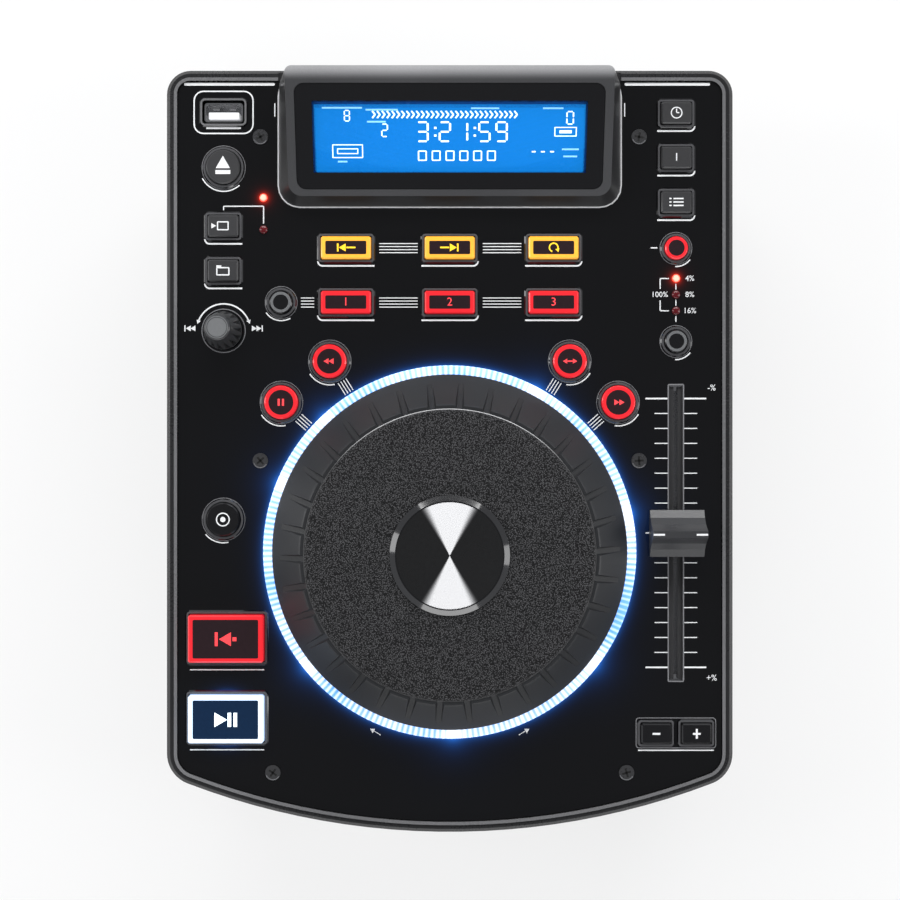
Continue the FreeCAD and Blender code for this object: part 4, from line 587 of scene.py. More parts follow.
# Scale of the pitch fader: eighteen steps, with longer lines at its middle and ends.
FADER = middle("fader_body")
FADER_TRAVEL = 50.4
FADER_STEPS = 18
for step in range(FADER_STEPS + 1):
    y = FADER[1] + FADER_TRAVEL - step * 2 * FADER_TRAVEL / FADER_STEPS
    far = step % (FADER_STEPS // 2) == 0
    for side in (-1, 1):
        reach = 11.4 if far else 8.0
        print_and_glint.stroke((FADER[0] + side * 2.9, y), (FADER[0] + side * reach, y), 0.6 if far else 0.36)
print_and_glint.figure("-%", FADER[0] + 13.4, FADER[1] + FADER_TRAVEL + 4.0, 3.2)
print_and_glint.figure("+%", FADER[0] + 13.4, FADER[1] - FADER_TRAVEL - 4.0, 3.2)
greys.block(FADER[0], FADER[1], 6.2, 111.8, corner=0.6, line=0.5)
bend_x = (middle("bend_minus_button")[0] + middle("bend_plus_button")[0]) / 2
bend_y = middle("bend_plus_button")[1]
greys.block(bend_x, bend_y, 30.2, 11.6, corner=1.3, line=0.35)
print_and_glint.stroke((bend_x - 14.2, bend_y - 6.5), (bend_x + 14.2, bend_y - 6.5), 0.45)
for side in (-1, 1):
    x, y = side * 27.5, JOG[1] - 67.6
    print_and_glint.pointer(x + side * 1.4, y + 0.7, 1.1, 90 - side * 60)
    print_and_glint.stroke((x - side * 1.6, y - 1.1), (x + side * 0.8, y + 0.4), 0.3)
print_and_glint.done("panel_print_and_glints", WHITE_INK_AND_GLINT, "case")
greys.done("panel_outlines", GREY_INK, "case")

# Screws of the face plate: zinc plated cross heads, blackened. The cross cut into each low dome is drawn as a black
# cross on top, painted shade, and a pale arc on the lower side of each head is a painted glint.
SCREW_GREY = finish("black_zinc", (0.16, 0.16, 0.165), 0.28, 1600, 0.2, metallic=0.9)
paint(["panel_screws"], SCREW_GREY)
CROSS_SHADE = finish("screw_cross", (0.006, 0.006, 0.006), 0.5)
cross_shades = Ink(PANEL + 0.3)
rim_glints = Ink(PANEL + 0.3)
SCREW_PLACES = [(side * x, y) for x, y in ((71.0, 117.9), (71.0, -3.5), (66.3, -120.5)) for side in (-1, 1)]
for number, (x, y) in enumerate(SCREW_PLACES):
    for quarter in (0, 1):
        cross_shades.block(x, y, 3.4, 0.75, turn=0.5 + number * 0.9 + quarter * pi / 2)
    rim_glints.arc(x, y, 2.6, 0.3, 200, 330)
cross_shades.done("screw_cross_shades", CROSS_SHADE, "case")
rim_glints.done("screw_rim_glints", finish("screw_glint", (0.5, 0.5, 0.52), 0.25, metallic=0.8), "case")

# Stick socket: a folded steel shell with two spring fingers and a white tongue, soldered to the key board.
SHELL = (14.4, 7.2)
SHELL_WALL = 0.6
socket_low, socket_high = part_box("stick_socket")
shell = bmesh.new()
bmesh.ops.create_cube(shell, size=1, matrix=Matrix.Translation((*STICK, (socket_low[2] + socket_high[2]) / 2 / MM))
                      @ Matrix.Diagonal((*SHELL, (socket_high[2] - socket_low[2]) / MM, 1)))
upright = [edge for edge in shell.edges if abs(edge.verts[0].co.z - edge.verts[1].co.z) > 1]
bmesh.ops.bevel(shell, geom=upright, offset=1.1, affect="EDGES", segments=4, profile=0.5, material=-1)
mouth = [face for face in shell.faces if face.normal.z > 0.9]
bmesh.ops.inset_region(shell, faces=mouth, thickness=SHELL_WALL, use_even_offset=True)
sunk = bmesh.ops.extrude_face_region(shell, geom=mouth)
bmesh.ops.delete(shell, geom=mouth, context="FACES_ONLY")
bmesh.ops.translate(shell, vec=(0, 0, -7), verts=[v for v in sunk["geom"] if isinstance(v, bmesh.types.BMVert)])
bmesh.ops.scale(shell, vec=(MM, MM, MM), verts=shell.verts)
STEEL = finish("plated_steel", (0.62, 0.62, 0.63), 0.22, 500, 0.1, 0.3, metallic=1.0)
SOCKET_TOP = top("stick_socket")
shell_piece = keep(shell, "stick_shell", STEEL, smooth=40, body="case")
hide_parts("stick_socket")
# The white tongue is given a glow of its own, which is painted light.
tongue = Ink(SOCKET_TOP - 6.9)
tongue.block(STICK[0], STICK[1] - 1.1, 11.4, 2.6, corner=0.3)
tongue.done("stick_tongue", finish("white_nylon", (0.85, 0.86, 0.88), 0.4, 800, 0.1, 0.1, glow=0.25), "case", 6.2)
fingers = Ink(SOCKET_TOP - 3)
for side in (-1, 1):
    fingers.block(STICK[0] + side * 3.1, STICK[1] + 1.9, 2.6, 1.0, corner=0.2)
fingers.done("stick_fingers", STEEL, "case", 2.2)
bezel = Ink(PANEL + COLLAR_RISE)
bezel.block(*STICK, 17.3, 10.2, corner=1.8, line=0.7)
bezel.done("stick_bezel", finish("bezel_grey", (0.16, 0.16, 0.165), 0.35), "case", 0.06)

# Dark keys: hard grey rubber caps with white pad printed signs, each in its collar.
KEY_RUBBER = finish("key_rubber", (0.04, 0.04, 0.042), 0.36, 1500, 0.15)
KEY_GLOSS = finish("key_gloss", (0.008, 0.008, 0.009), 0.2, 1200, 0.03)
paint(["source_button", "folder_button", "time_button", "single_button", "program_button", "eject_button"],
      KEY_RUBBER)
paint(["tap_button", "bend_minus_button", "bend_plus_button", "pitch_range_button", "record_button"], KEY_GLOSS)


def signed(name):
    """A layer of ink on top of a key."""
    return Ink(top(name)), *middle(name)


def printed(layer, name, material=WHITE_INK_AND_GLINT):
    layer.done(name.replace("_button", "_sign"), material, name.replace("_button", "_key"), 0.03)


sign, x, y = signed("eject_button")
sign.pointer(x, y + 1.0, 3.1, 90)
sign.block(x, y - 2.0, 5.6, 1.5)
printed(sign, "eject_button")
sign, x, y = signed("source_button")
sign.block(x, y, 4.4, 3.4, corner=0.4, line=0.45).pointer(x - 3.7, y, 1.2, 0)
printed(sign, "source_button")
sign, x, y = signed("folder_button")
sign.block(x, y - 0.3, 5.0, 3.2, corner=0.4, line=0.5).block(x - 1.5, y + 1.6, 1.9, 0.7)
printed(sign, "folder_button")
sign, x, y = signed("time_button")
sign.disc(x, y, 2.2, line=0.4).stroke((x, y), (x, y + 1.5), 0.4).stroke((x, y), (x + 1.0, y), 0.4)
printed(sign, "time_button")
sign, x, y = signed("single_button")
sign.figure("1", x, y, 4.2)
printed(sign, "single_button")
sign, x, y = signed("program_button")
for step in (-1, 0, 1):
    sign.block(x + 0.7, y + step * 1.3, 3.8, 0.5).block(x - 2.3, y + step * 1.3, 0.8, 0.5)
printed(sign, "program_button")
sign, x, y = signed("tap_button")
sign.disc(x, y, 1.0).disc(x, y, 2.6, line=0.45)
printed(sign, "tap_button")
sign, x, y = signed("bend_minus_button")
sign.block(x, y, 2.9, 0.75)
printed(sign, "bend_minus_button")
sign, x, y = signed("bend_plus_button")
sign.block(x, y, 2.9, 0.75).block(x, y + 1.1, 0.75, 1.45).block(x, y - 1.1, 0.75, 1.45)
printed(sign, "bend_plus_button")
CHROME_INK = finish("key_ring", (0.42, 0.43, 0.44), 0.22, 900, 0.05, 0.5, metallic=0.7)
for name in ("record_button", "pitch_range_button"):
    sign, x, y = signed(name)
    sign.disc(x, y, 3.85, line=1.0, sides=48)
    printed(sign, name, CHROME_INK)

# Collar edges: a painted highlight, a thin dark satin grey line along the rounded top of each moulded collar.
collar_highlights = Ink(PANEL + COLLAR_RISE)
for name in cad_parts:
    if not name.endswith("_button"):
        continue
    x, y = middle(name)
    wide, deep = half(name)
    if name in ROUND_GLINT_ARCS:
        collar_highlights.disc(x, y, deep + 1.15, line=0.8, sides=48)
    else:
        collar_highlights.block(x, y, 2 * (wide - 0.9) + 2.2, 2 * (deep - 0.9) + 2.2, corner=1.2, line=0.75)
collar_highlights.done("collar_edge_highlights", finish("collar_highlight_grey", (0.085, 0.085, 0.09), 0.3, 1400, 0.1), "case", 0.03)


# Lit keys: clear coloured caps over a lamp, with a dark window let into the top, so that a bright border stays.
def lit(name, color, glow, core):
    """A clear cap that glows most along its upper edge, as light leaves it there."""
    material = finish(name, color, 0.25, 500, 0.02, 0.5, coat=0.4)
    dim = [0.45 * part for part in color]
    blended(material, dim, core, "Z", PANEL * MM, (PANEL + 2.4) * MM, "Emission Color")
    shader_of(material).inputs["Emission Strength"].default_value = glow
    return material


AMBER = lit("amber_cap", (0.75, 0.33, 0.02), 0.62, (1.0, 0.52, 0.08))
RED = lit("red_cap", (0.55, 0.008, 0.012), 0.62, (0.95, 0.03, 0.045))
BLUE_WHITE = lit("white_cap", (0.45, 0.6, 0.9), 1.1, (0.7, 0.85, 1.0))
SMOKED = finish("smoked_window", (0.016, 0.008, 0.01), 0.16, 900, 0.02, 0.6, glow=0.5)
SMOKED_BLUE = finish("smoked_blue", (0.003, 0.014, 0.04), 0.16, 900, 0.02, 0.6, glow=0.5)
AMBER_INK = finish("amber_sign", (1.0, 0.62, 0.03), 0.4, glow=0.55)
RED_INK = finish("red_sign", (0.9, 0.06, 0.07), 0.4, glow=0.6)
BLUE_INK = finish("blue_white_sign", (0.8, 0.92, 1.0), 0.4, glow=1.4)
LOOPS = ("loop_in_button", "loop_out_button", "reloop_button")
HOT_CUES = ("hot_cue_1_button", "hot_cue_2_button", "hot_cue_3_button")
EFFECTS = ("brake_button", "reverse_button", "scratch_button", "search_button")
paint(LOOPS, AMBER)
paint([*HOT_CUES, *EFFECTS, "cue_button", "master_tempo_button"], RED)
paint(["play_button"], BLUE_WHITE)
WINDOW_RISE = 0.05


def windowed(name, material, width=None, depth=None, radius=None):
    layer, x, y = signed(name)
    if radius:
        layer.disc(x, y, radius, sides=48)
    else:
        layer.block(x, y, width, depth, corner=0.5)
    layer.done(name.replace("_button", "_window"), material, name.replace("_button", "_key"), WINDOW_RISE)
    return Ink(top(name) + WINDOW_RISE), x, y


sign, x, y = windowed("loop_in_button", SMOKED, 15.3, 5.0)
sign.block(x - 3.0, y, 0.6, 3.0).pointer(x - 0.9, y, 1.7, 180).block(x + 1.9, y, 3.4, 0.6)
printed(sign, "loop_in_button", AMBER_INK)
sign, x, y = windowed("loop_out_button", SMOKED, 15.3, 5.0)
sign.block(x + 3.0, y, 0.6, 3.0).pointer(x + 0.9, y, 1.7, 0).block(x - 1.9, y, 3.4, 0.6)
printed(sign, "loop_out_button", AMBER_INK)
sign, x, y = windowed("reloop_button", SMOKED, 15.3, 5.0)
sign.arc(x, y, 1.6, 0.5, -20, 250).pointer(x + 1.5, y - 0.9, 0.9, -75)
printed(sign, "reloop_button", AMBER_INK)
for number, name in enumerate(HOT_CUES, start=1):
    sign, x, y = windowed(name, SMOKED, 15.3, 5.0)
    sign.figure(str(number), x, y, 4.4)
    printed(sign, name, RED_INK)
EFFECT_SIGNS = {"brake_button": 2, "reverse_button": 180, "scratch_button": 3, "search_button": 0}
for name, kind in EFFECT_SIGNS.items():
    sign, x, y = windowed(name, SMOKED, radius=4.65)
    if kind == 2:
        sign.block(x - 0.8, y, 0.8, 2.6).block(x + 0.8, y, 0.8, 2.6)
    elif kind == 3:
        sign.pointer(x - 1.6, y, 1.1, 180).pointer(x + 1.6, y, 1.1, 0).block(x, y, 2.0, 0.5)
    else:
        for step in (-1, 1):
            sign.pointer(x + step * 0.95, y, 1.25, kind)
    printed(sign, name, RED_INK)
windowed("master_tempo_button", SMOKED, radius=3.0)[0].mesh.free()
sign, x, y = windowed("cue_button", SMOKED, 24.4, 14.4)
sign.block(x - 3.4, y, 1.1, 5.2).pointer(x + 0.6, y, 3.0, 180).block(x + 3.4, y, 1.5, 1.5)
printed(sign, "cue_button", RED_INK)
sign, x, y = windowed("play_button", SMOKED_BLUE, 24.4, 14.4)
sign.pointer(x - 2.5, y, 3.1, 0).block(x + 1.5, y, 1.3, 5.2).block(x + 3.7, y, 1.3, 5.2)
printed(sign, "play_button", BLUE_INK)

# Indicator lamps: five clear red domes; the chosen source and the chosen pitch range are lit.
LAMP_CORE = (1.0, 0.78, 0.62)
paint(["indicator_lamps"], finish("lamp_body", (0.25, 0.01, 0.012), 0.3))


def lamp_dome(name, x, y, material):
    dome = bmesh.new()
    bmesh.ops.create_uvsphere(dome, u_segments=24, v_segments=12, radius=1.55)
    flat = bmesh.ops.bisect_plane(dome, geom=[*dome.verts, *dome.edges, *dome.faces], plane_co=(0, 0, 0),
                                  plane_no=(0, 0, -1), clear_outer=True)
    rim = [item for item in flat["geom_cut"] if isinstance(item, bmesh.types.BMEdge)]
    bmesh.ops.contextual_create(dome, geom=rim)
    bmesh.ops.scale(dome, vec=(MM, MM, 0.5 * MM), verts=dome.verts)
    bmesh.ops.translate(dome, vec=(x * MM, y * MM, top("indicator_lamps") * MM), verts=dome.verts)
    keep(dome, name, material, smooth=50, body="case")


LAMP_LIT = finish("lamp_lit", (1.0, 0.12, 0.06), 0.2, 700, 0.0, 0.3, glow=1.0)
LAMP_TOP = top("indicator_lamps")
blended(LAMP_LIT, (1.0, 0.04, 0.02), LAMP_CORE, "Z", (LAMP_TOP + 0.3) * MM, (LAMP_TOP + 0.75) * MM, "Emission Color")
LAMP_DARK = finish("lamp_dark", (0.11, 0.008, 0.012), 0.15, 700, 0.0, 0.4)
lamp_dome("source_lamp_lit", *SOURCE_LAMP, LAMP_LIT)
lamp_dome("source_lamp_dark", SOURCE_LAMP[0], SOURCE_LAMP[1] - 11.9, LAMP_DARK)
lamp_dome("range_lamp_lit", *RANGE_LAMP, LAMP_LIT)
lamp_dome("range_lamp_middle", RANGE_LAMP[0], range_ys[1], LAMP_DARK)
lamp_dome("range_lamp_last", RANGE_LAMP[0], range_ys[2], LAMP_DARK)

# Display hood: satin dark grey moulding, painted with a fine metal flake, standing over the panel's rear.
# Its colour is made paler along the rear edge, a painted highlight, and darker on the faces that do not face up,
# painted shade.
HOOD_SATIN_LIT_AND_SHADED = finish("hood_paint", (0.075, 0.076, 0.08), 0.33, 2600, 0.2, 0.5, metallic=0.35)
hood_low, hood_high = (Vector(corner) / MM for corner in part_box("display_hood"))
# Painted highlight: the colour grows pale over the last few millimetres towards the hood's rear edge.
blended(HOOD_SATIN_LIT_AND_SHADED, (0.085, 0.086, 0.09), (0.62, 0.62, 0.63), "Y", (hood_high.y - 6.5) * MM, (hood_high.y - 1.5) * MM,
        HOOD_SATIN_LIT_AND_SHADED.node_tree.nodes["surface"].inputs["Color"])
# Painted shade: faces that tilt away from straight up are made darker.
hood_facing = node(HOOD_SATIN_LIT_AND_SHADED, "ShaderNodeNewGeometry")
hood_split = node(HOOD_SATIN_LIT_AND_SHADED, "ShaderNodeSeparateXYZ")
hood_slope_shade = graded(HOOD_SATIN_LIT_AND_SHADED, start=0.75, end=0.92, low=0.3)
hood_shade = node(HOOD_SATIN_LIT_AND_SHADED, "ShaderNodeVectorMath", operation="SCALE")
link(HOOD_SATIN_LIT_AND_SHADED, hood_facing.outputs["True Normal"], hood_split.inputs[0])
link(HOOD_SATIN_LIT_AND_SHADED, hood_split.outputs["Z"], hood_slope_shade.inputs["Value"])
link(HOOD_SATIN_LIT_AND_SHADED, HOOD_SATIN_LIT_AND_SHADED.node_tree.nodes["surface"].outputs["Color"], hood_shade.inputs[0])
link(HOOD_SATIN_LIT_AND_SHADED, hood_slope_shade.outputs[0], hood_shade.inputs["Scale"])
link(HOOD_SATIN_LIT_AND_SHADED, hood_shade.outputs[0], shader_of(HOOD_SATIN_LIT_AND_SHADED).inputs["Base Color"])
paint(["display_hood"], HOOD_SATIN_LIT_AND_SHADED)
HOOD_SIDE = half("display_hood")[0]
# A painted reflection: a faintly glowing pale line round the foot of the hood.
hood_base_glint_line = Ink(PANEL)
hood_base_glint_line.block(0, (hood_low.y + hood_high.y) / 2, 2 * HOOD_SIDE + 1.1, hood_high.y - hood_low.y + 1.1, corner=8.4,
                line=0.5)
BASE_GLINT_SILVER = finish("base_glint_silver", (0.6, 0.6, 0.61), 0.35, glow=0.15)
hood_base_glint_line.done("hood_base_glint", BASE_GLINT_SILVER, "case", 0.05)
PANEL_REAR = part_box("face_plate")[1][1] / MM
# Painted reflections: faintly glowing white strips along the rear edge of the panel, and two short upright lines.
glint = Ink(PANEL)
for x, width in ((-82.6, 34.0), (81.6, 32.0)):
    glint.block(x, PANEL_REAR - 0.9, width, 1.0, corner=0.4)
for x in (-65.6, 65.6):
    glint.block(x, PANEL_REAR - 10.5, 0.35, 5.0)
glint.done("panel_glints", finish("painted_edge_glint", (0.85, 0.86, 0.87), 0.3, glow=0.3), "case", 0.05)

# Window and display: a clear sheet with a black border from behind, over a blue liquid crystal display.
FACE_FRONT = hood_low.y + 3
FACE_RISE = 6
TILT = atan2(16.6, 44.6)
window_low, window_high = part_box("display_window")
display_low, display_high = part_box("display_module")
LCD_HALF = 49.6
LCD_FRONT = 103.7
LCD_REAR = 126.6


def box_mask(material, half_wide, front, rear, soft=0.0002):
    """One inside a rectangle in plan, nought outside it."""
    place = node(material, "ShaderNodeTexCoord")
    split = node(material, "ShaderNodeSeparateXYZ")
    link(material, place.outputs["Object"], split.inputs[0])
    away = node(material, "ShaderNodeMath", operation="ABSOLUTE")
    link(material, split.outputs["X"], away.inputs[0])
    shift = node(material, "ShaderNodeMath", operation="SUBTRACT")
    link(material, split.outputs["Y"], shift.inputs[0])
    shift.inputs[1].default_value = (front + rear) / 2 * MM
    along = node(material, "ShaderNodeMath", operation="ABSOLUTE")
    link(material, shift.outputs[0], along.inputs[0])
    sides = []
    for source, reach in ((away, half_wide), (along, (rear - front) / 2)):
        step = graded(material, start=reach * MM, end=reach * MM + soft, low=1, high=0)
        link(material, source.outputs[0], step.inputs["Value"])
        sides.append(step)
    inside = node(material, "ShaderNodeMath", operation="MULTIPLY")
    link(material, sides[0].outputs[0], inside.inputs[0])
    link(material, sides[1].outputs[0], inside.inputs[1])
    return inside.outputs[0]


WINDOW = finish("display_window", (0.006, 0.006, 0.007), 0.05, 80, 0.0, 0.2, coat=0.5)
clear = graded(WINDOW, low=1.0, high=0.05)
link(WINDOW, box_mask(WINDOW, LCD_HALF + 0.6, LCD_FRONT - 0.6, LCD_REAR + 0.9), clear.inputs["Value"])
link(WINDOW, clear.outputs[0], shader_of(WINDOW).inputs["Alpha"])
paint(["display_window"], WINDOW)
LCD = finish("lcd_blue", (0.004, 0.09, 0.35), 0.25, 300, 0.0, 0.15)
lcd_shine = node(LCD, "ShaderNodeTexNoise")
lcd_shine.inputs["Scale"].default_value = 18
lcd_even = graded(LCD, low=0.86, high=1.14)
lcd_tint = node(LCD, "ShaderNodeVectorMath", operation="SCALE")
lcd_tint.inputs[0].default_value = (0.004, 0.22, 0.63)
lcd_place = node(LCD, "ShaderNodeTexCoord")
link(LCD, lcd_place.outputs["Object"], lcd_shine.inputs["Vector"])
link(LCD, lcd_shine.outputs["Fac"], lcd_even.inputs["Value"])
link(LCD, lcd_even.outputs[0], lcd_tint.inputs["Scale"])
lcd_lit = node(LCD, "ShaderNodeMix", data_type="RGBA")
lcd_lit.inputs["A"].default_value = (0, 0, 0, 1)
link(LCD, box_mask(LCD, LCD_HALF, LCD_FRONT, LCD_REAR), lcd_lit.inputs["Factor"])
link(LCD, lcd_tint.outputs[0], lcd_lit.inputs["B"])
link(LCD, lcd_lit.outputs["Result"], shader_of(LCD).inputs["Emission Color"])
shader_of(LCD).inputs["Emission Strength"].default_value = 0.95
paint(["display_module"], LCD)

# Figures on the display: white segments and blocks, which lie on the glass of the tilted display.
DEPTH = 1.78
face = Matrix.Translation((0, (FACE_FRONT + DEPTH * sin(TILT)) * MM, (PANEL + FACE_RISE - DEPTH * cos(TILT)) * MM))
LCD_MIDDLE = 22.6
FIGURE_SHIFT = -1.1
FIGURE_SCALE = (0.98, 0.87, 1, 1)
face = face @ Matrix.Rotation(TILT, 4, "X") @ Matrix.Translation((0, (LCD_MIDDLE + FIGURE_SHIFT) * MM, 0))
face = face @ Matrix.Diagonal(FIGURE_SCALE) @ Matrix.Translation((0, -LCD_MIDDLE * MM, 0))
SEGMENTS = {"0": "abcdef", "1": "bc", "2": "abged", "3": "abgcd", "5": "afgcd", "8": "abcdefg",
            "9": "abcdfg", "-": "g"}
display_ink = Ink(0)


def digit(text, x, y, width, height, line):
    """Figures of seven segments, set in a row from the left."""
    bars = {"a": (0, 1, 1), "g": (0, 0, 1), "d": (0, -1, 1), "f": (-1, 0.5, 0), "b": (1, 0.5, 0),
            "e": (-1, -0.5, 0), "c": (1, -0.5, 0)}
    for letter in text:
        if letter == ":":
            for step in (-1, 1):
                display_ink.block(x - width * 0.42, y + step * height * 0.2, line * 1.2, line * 1.2)
            x += width * 0.5
            continue
        for key in SEGMENTS[letter]:
            across, up, flat = bars[key]
            size = (width - line, line) if flat else (line, height / 2 - line)
            display_ink.block(x + across * width / 2, y + up * height / 2, *size, corner=line * 0.3)
        x += width * 1.65


digit("8", -38.4, LCD_MIDDLE + 8.9, 1.9, 4.4, 0.45)
digit("2", -24.4, LCD_MIDDLE + 2.8, 2.1, 5.2, 0.5)
digit("3:21:59", -10.2, LCD_MIDDLE + 2.2, 3.9, 8.0, 0.75)
digit("0", 45.0, LCD_MIDDLE + 8.0, 2.4, 5.2, 0.55)
digit("---", 31.6, LCD_MIDDLE - 6.2, 2.1, 4.0, 0.6)
for step in range(30):
    x = -28.4 + step * 1.83
    for up in (-1, 1):
        display_ink.block(x, LCD_MIDDLE + 9.4 + up * 0.72, 1.9, 0.62, turn=-up * 0.95)
for step in range(6):
    display_ink.block(-10.3 + step * 5.2, LCD_MIDDLE - 7.9, 3.4, 4.4, corner=0.5, line=0.5)
display_ink.block(-38.4, LCD_MIDDLE - 6.0, 11.6, 5.8, corner=0.3, line=0.4)
display_ink.block(-38.4, LCD_MIDDLE - 6.0, 8.0, 2.4, corner=0.3, line=0.4)
display_ink.block(43.4, LCD_MIDDLE + 2.2, 8.4, 4.0, corner=0.2, line=0.4)
display_ink.block(43.4, LCD_MIDDLE + 2.2, 4.6, 1.3)
faint_ink = Ink(0)
for x, y, width in ((-40.2, 12.2, 15.0), (-25.4, 11.4, 12.0), (13.2, 12.0, 10.5), (38.6, 12.0, 7.6),
                    (-27.4, 6.4, 7.0), (45.4, -5.2, 6.4), (45.4, -8.2, 5.2), (-40.4, -10.4, 3.6)):
    faint_ink.block(x, LCD_MIDDLE + y, width, 0.7)
faint_ink.done("display_rules", finish("lcd_faint", (0.25, 0.6, 0.95), 0.4, glow=0.7), "case", 0.02, face)
display_ink.done("display_figures", finish("lcd_segment", (0.75, 0.92, 1.0), 0.4, glow=0.95), "case", 0.02, face)

# Jog wheel: hollow cone of soft-touch plastic with finger scallops, and a glued plate with a coarse sand
# texture. The spun aluminium face of its cap has fine circular lines; the two fans of light it throws are painted
# into its colour.
WHEEL_PLASTIC = finish("wheel_plastic", (0.022, 0.023, 0.025), 0.42, 2000, 0.15, 0.3)
shader_of(WHEEL_PLASTIC).inputs["Specular IOR Level"].default_value = 0.32
paint(["jog_wheel"], WHEEL_PLASTIC)
PLATE_GRAIN = finish("plate_grain", (0.05, 0.05, 0.052), 0.6, 1500, 1.0, 0.0)
shader_of(PLATE_GRAIN).inputs["Specular IOR Level"].default_value = 0.25
speck_place = node(PLATE_GRAIN, "ShaderNodeTexCoord")
speck = node(PLATE_GRAIN, "ShaderNodeTexVoronoi")
speck.inputs["Scale"].default_value = 2100
speck_ramp = node(PLATE_GRAIN, "ShaderNodeValToRGB")
speck_ramp.color_ramp.elements[0].position = 0.18
speck_ramp.color_ramp.elements[0].color = (0.095, 0.095, 0.099, 1)
speck_ramp.color_ramp.elements[1].position = 0.55
speck_ramp.color_ramp.elements[1].color = (0.004, 0.004, 0.0045, 1)
link(PLATE_GRAIN, speck_place.outputs["Object"], speck.inputs["Vector"])
link(PLATE_GRAIN, speck.outputs["Distance"], speck_ramp.inputs["Fac"])
link(PLATE_GRAIN, speck_ramp.outputs["Color"], shader_of(PLATE_GRAIN).inputs["Base Color"])
paint(["jog_plate"], PLATE_GRAIN)
paint(["jog_cap"], finish("cap_plastic", (0.008, 0.008, 0.009), 0.12, 300, 0.0, coat=0.4))
PLATE_TOP = top("jog_plate")
# Painted highlight: a thin ring on the plate's bevelled edge, pale towards the rear and dark towards the front.
edge_shine = Ink(PLATE_TOP - 0.75)
edge_shine.disc(*JOG, half("jog_plate")[0] + 0.12, line=0.6, sides=160)
BEVEL_HIGHLIGHT = finish("bevel_glint_grey", (0.2, 0.2, 0.205), 0.25, 900, 0.1, 0.6, metallic=0.2)
blended(BEVEL_HIGHLIGHT, (0.1, 0.1, 0.102), (0.9, 0.9, 0.91), "Y", (JOG[1] + 30) * MM, (JOG[1] + 50) * MM,
        BEVEL_HIGHLIGHT.node_tree.nodes["surface"].inputs["Color"])
edge_shine.done("plate_bevel_highlight", BEVEL_HIGHLIGHT, "jog", 0.1)
CAP_FACE = 19.35
CAP_DISH = 0.25
spun_face = bmesh.new()
bmesh.ops.create_circle(spun_face, cap_ends=True, segments=96, radius=CAP_FACE)
for reach in (6, 6, 4):
    inner = [item for item in spun_face.faces if len(item.verts) > 4]
    bmesh.ops.inset_region(spun_face, faces=inner, thickness=reach, use_even_offset=True)
grown = bmesh.ops.extrude_face_region(spun_face, geom=spun_face.faces[:], use_keep_orig=True)
raised = [v for v in grown["geom"] if isinstance(v, bmesh.types.BMVert)]
bmesh.ops.translate(spun_face, vec=(0, 0, 0.15), verts=raised)
bmesh.ops.translate(spun_face, vec=(*JOG, top("jog_cap") - CAP_DISH), verts=spun_face.verts)
bmesh.ops.scale(spun_face, vec=(MM, MM, MM), verts=spun_face.verts)
SPUN = finish("spun_aluminium", (0.75, 0.75, 0.76), 0.3, 800, 0.0, 0.2, metallic=1.0)
# Painted highlights: two bright fans across the face, by the angle round the jog, white in colour and less metallic.
spun_place = node(SPUN, "ShaderNodeTexCoord")
spun_move = node(SPUN, "ShaderNodeMapping")
spun_move.inputs["Location"].default_value = (-JOG[0] * MM, -JOG[1] * MM, 0)
spun_turn = node(SPUN, "ShaderNodeTexGradient", gradient_type="RADIAL")
spun_wave = node(SPUN, "ShaderNodeMath", operation="MULTIPLY")
spun_wave.inputs[1].default_value = 4 * pi
spun_fan_wave = node(SPUN, "ShaderNodeMath", operation="COSINE")
spun_fan_highlight = graded(SPUN, start=-0.74, end=-0.4, low=1.0, high=0.1, interpolation_type="SMOOTHSTEP")
spun_highlight_color = node(SPUN, "ShaderNodeVectorMath", operation="SCALE")
spun_highlight_color.inputs[0].default_value = (0.95, 0.95, 0.96)
link(SPUN, spun_place.outputs["Object"], spun_move.inputs["Vector"])
link(SPUN, spun_move.outputs[0], spun_turn.inputs["Vector"])
link(SPUN, spun_turn.outputs["Fac"], spun_wave.inputs[0])
link(SPUN, spun_wave.outputs[0], spun_fan_wave.inputs[0])
link(SPUN, spun_fan_wave.outputs[0], spun_fan_highlight.inputs["Value"])
link(SPUN, spun_fan_highlight.outputs[0], spun_highlight_color.inputs["Scale"])
link(SPUN, spun_highlight_color.outputs[0], shader_of(SPUN).inputs["Base Color"])
spun_metal = graded(SPUN, start=0.1, low=1.0, high=0.15)
link(SPUN, spun_fan_highlight.outputs[0], spun_metal.inputs["Value"])
link(SPUN, spun_metal.outputs[0], shader_of(SPUN).inputs["Metallic"])
spun_groove = node(SPUN, "ShaderNodeTexWave", wave_type="RINGS", rings_direction="Z")
spun_groove.inputs["Scale"].default_value = 700
spun_bump = node(SPUN, "ShaderNodeBump")
spun_bump.inputs["Strength"].default_value = 0.12
spun_bump.inputs["Distance"].default_value = 0.0001
link(SPUN, spun_move.outputs[0], spun_groove.inputs["Vector"])
link(SPUN, spun_groove.outputs["Fac"], spun_bump.inputs["Height"])
link(SPUN, spun_bump.outputs[0], shader_of(SPUN).inputs["Normal"])
spun_piece = keep(spun_face, "spun_face", SPUN, body="jog")

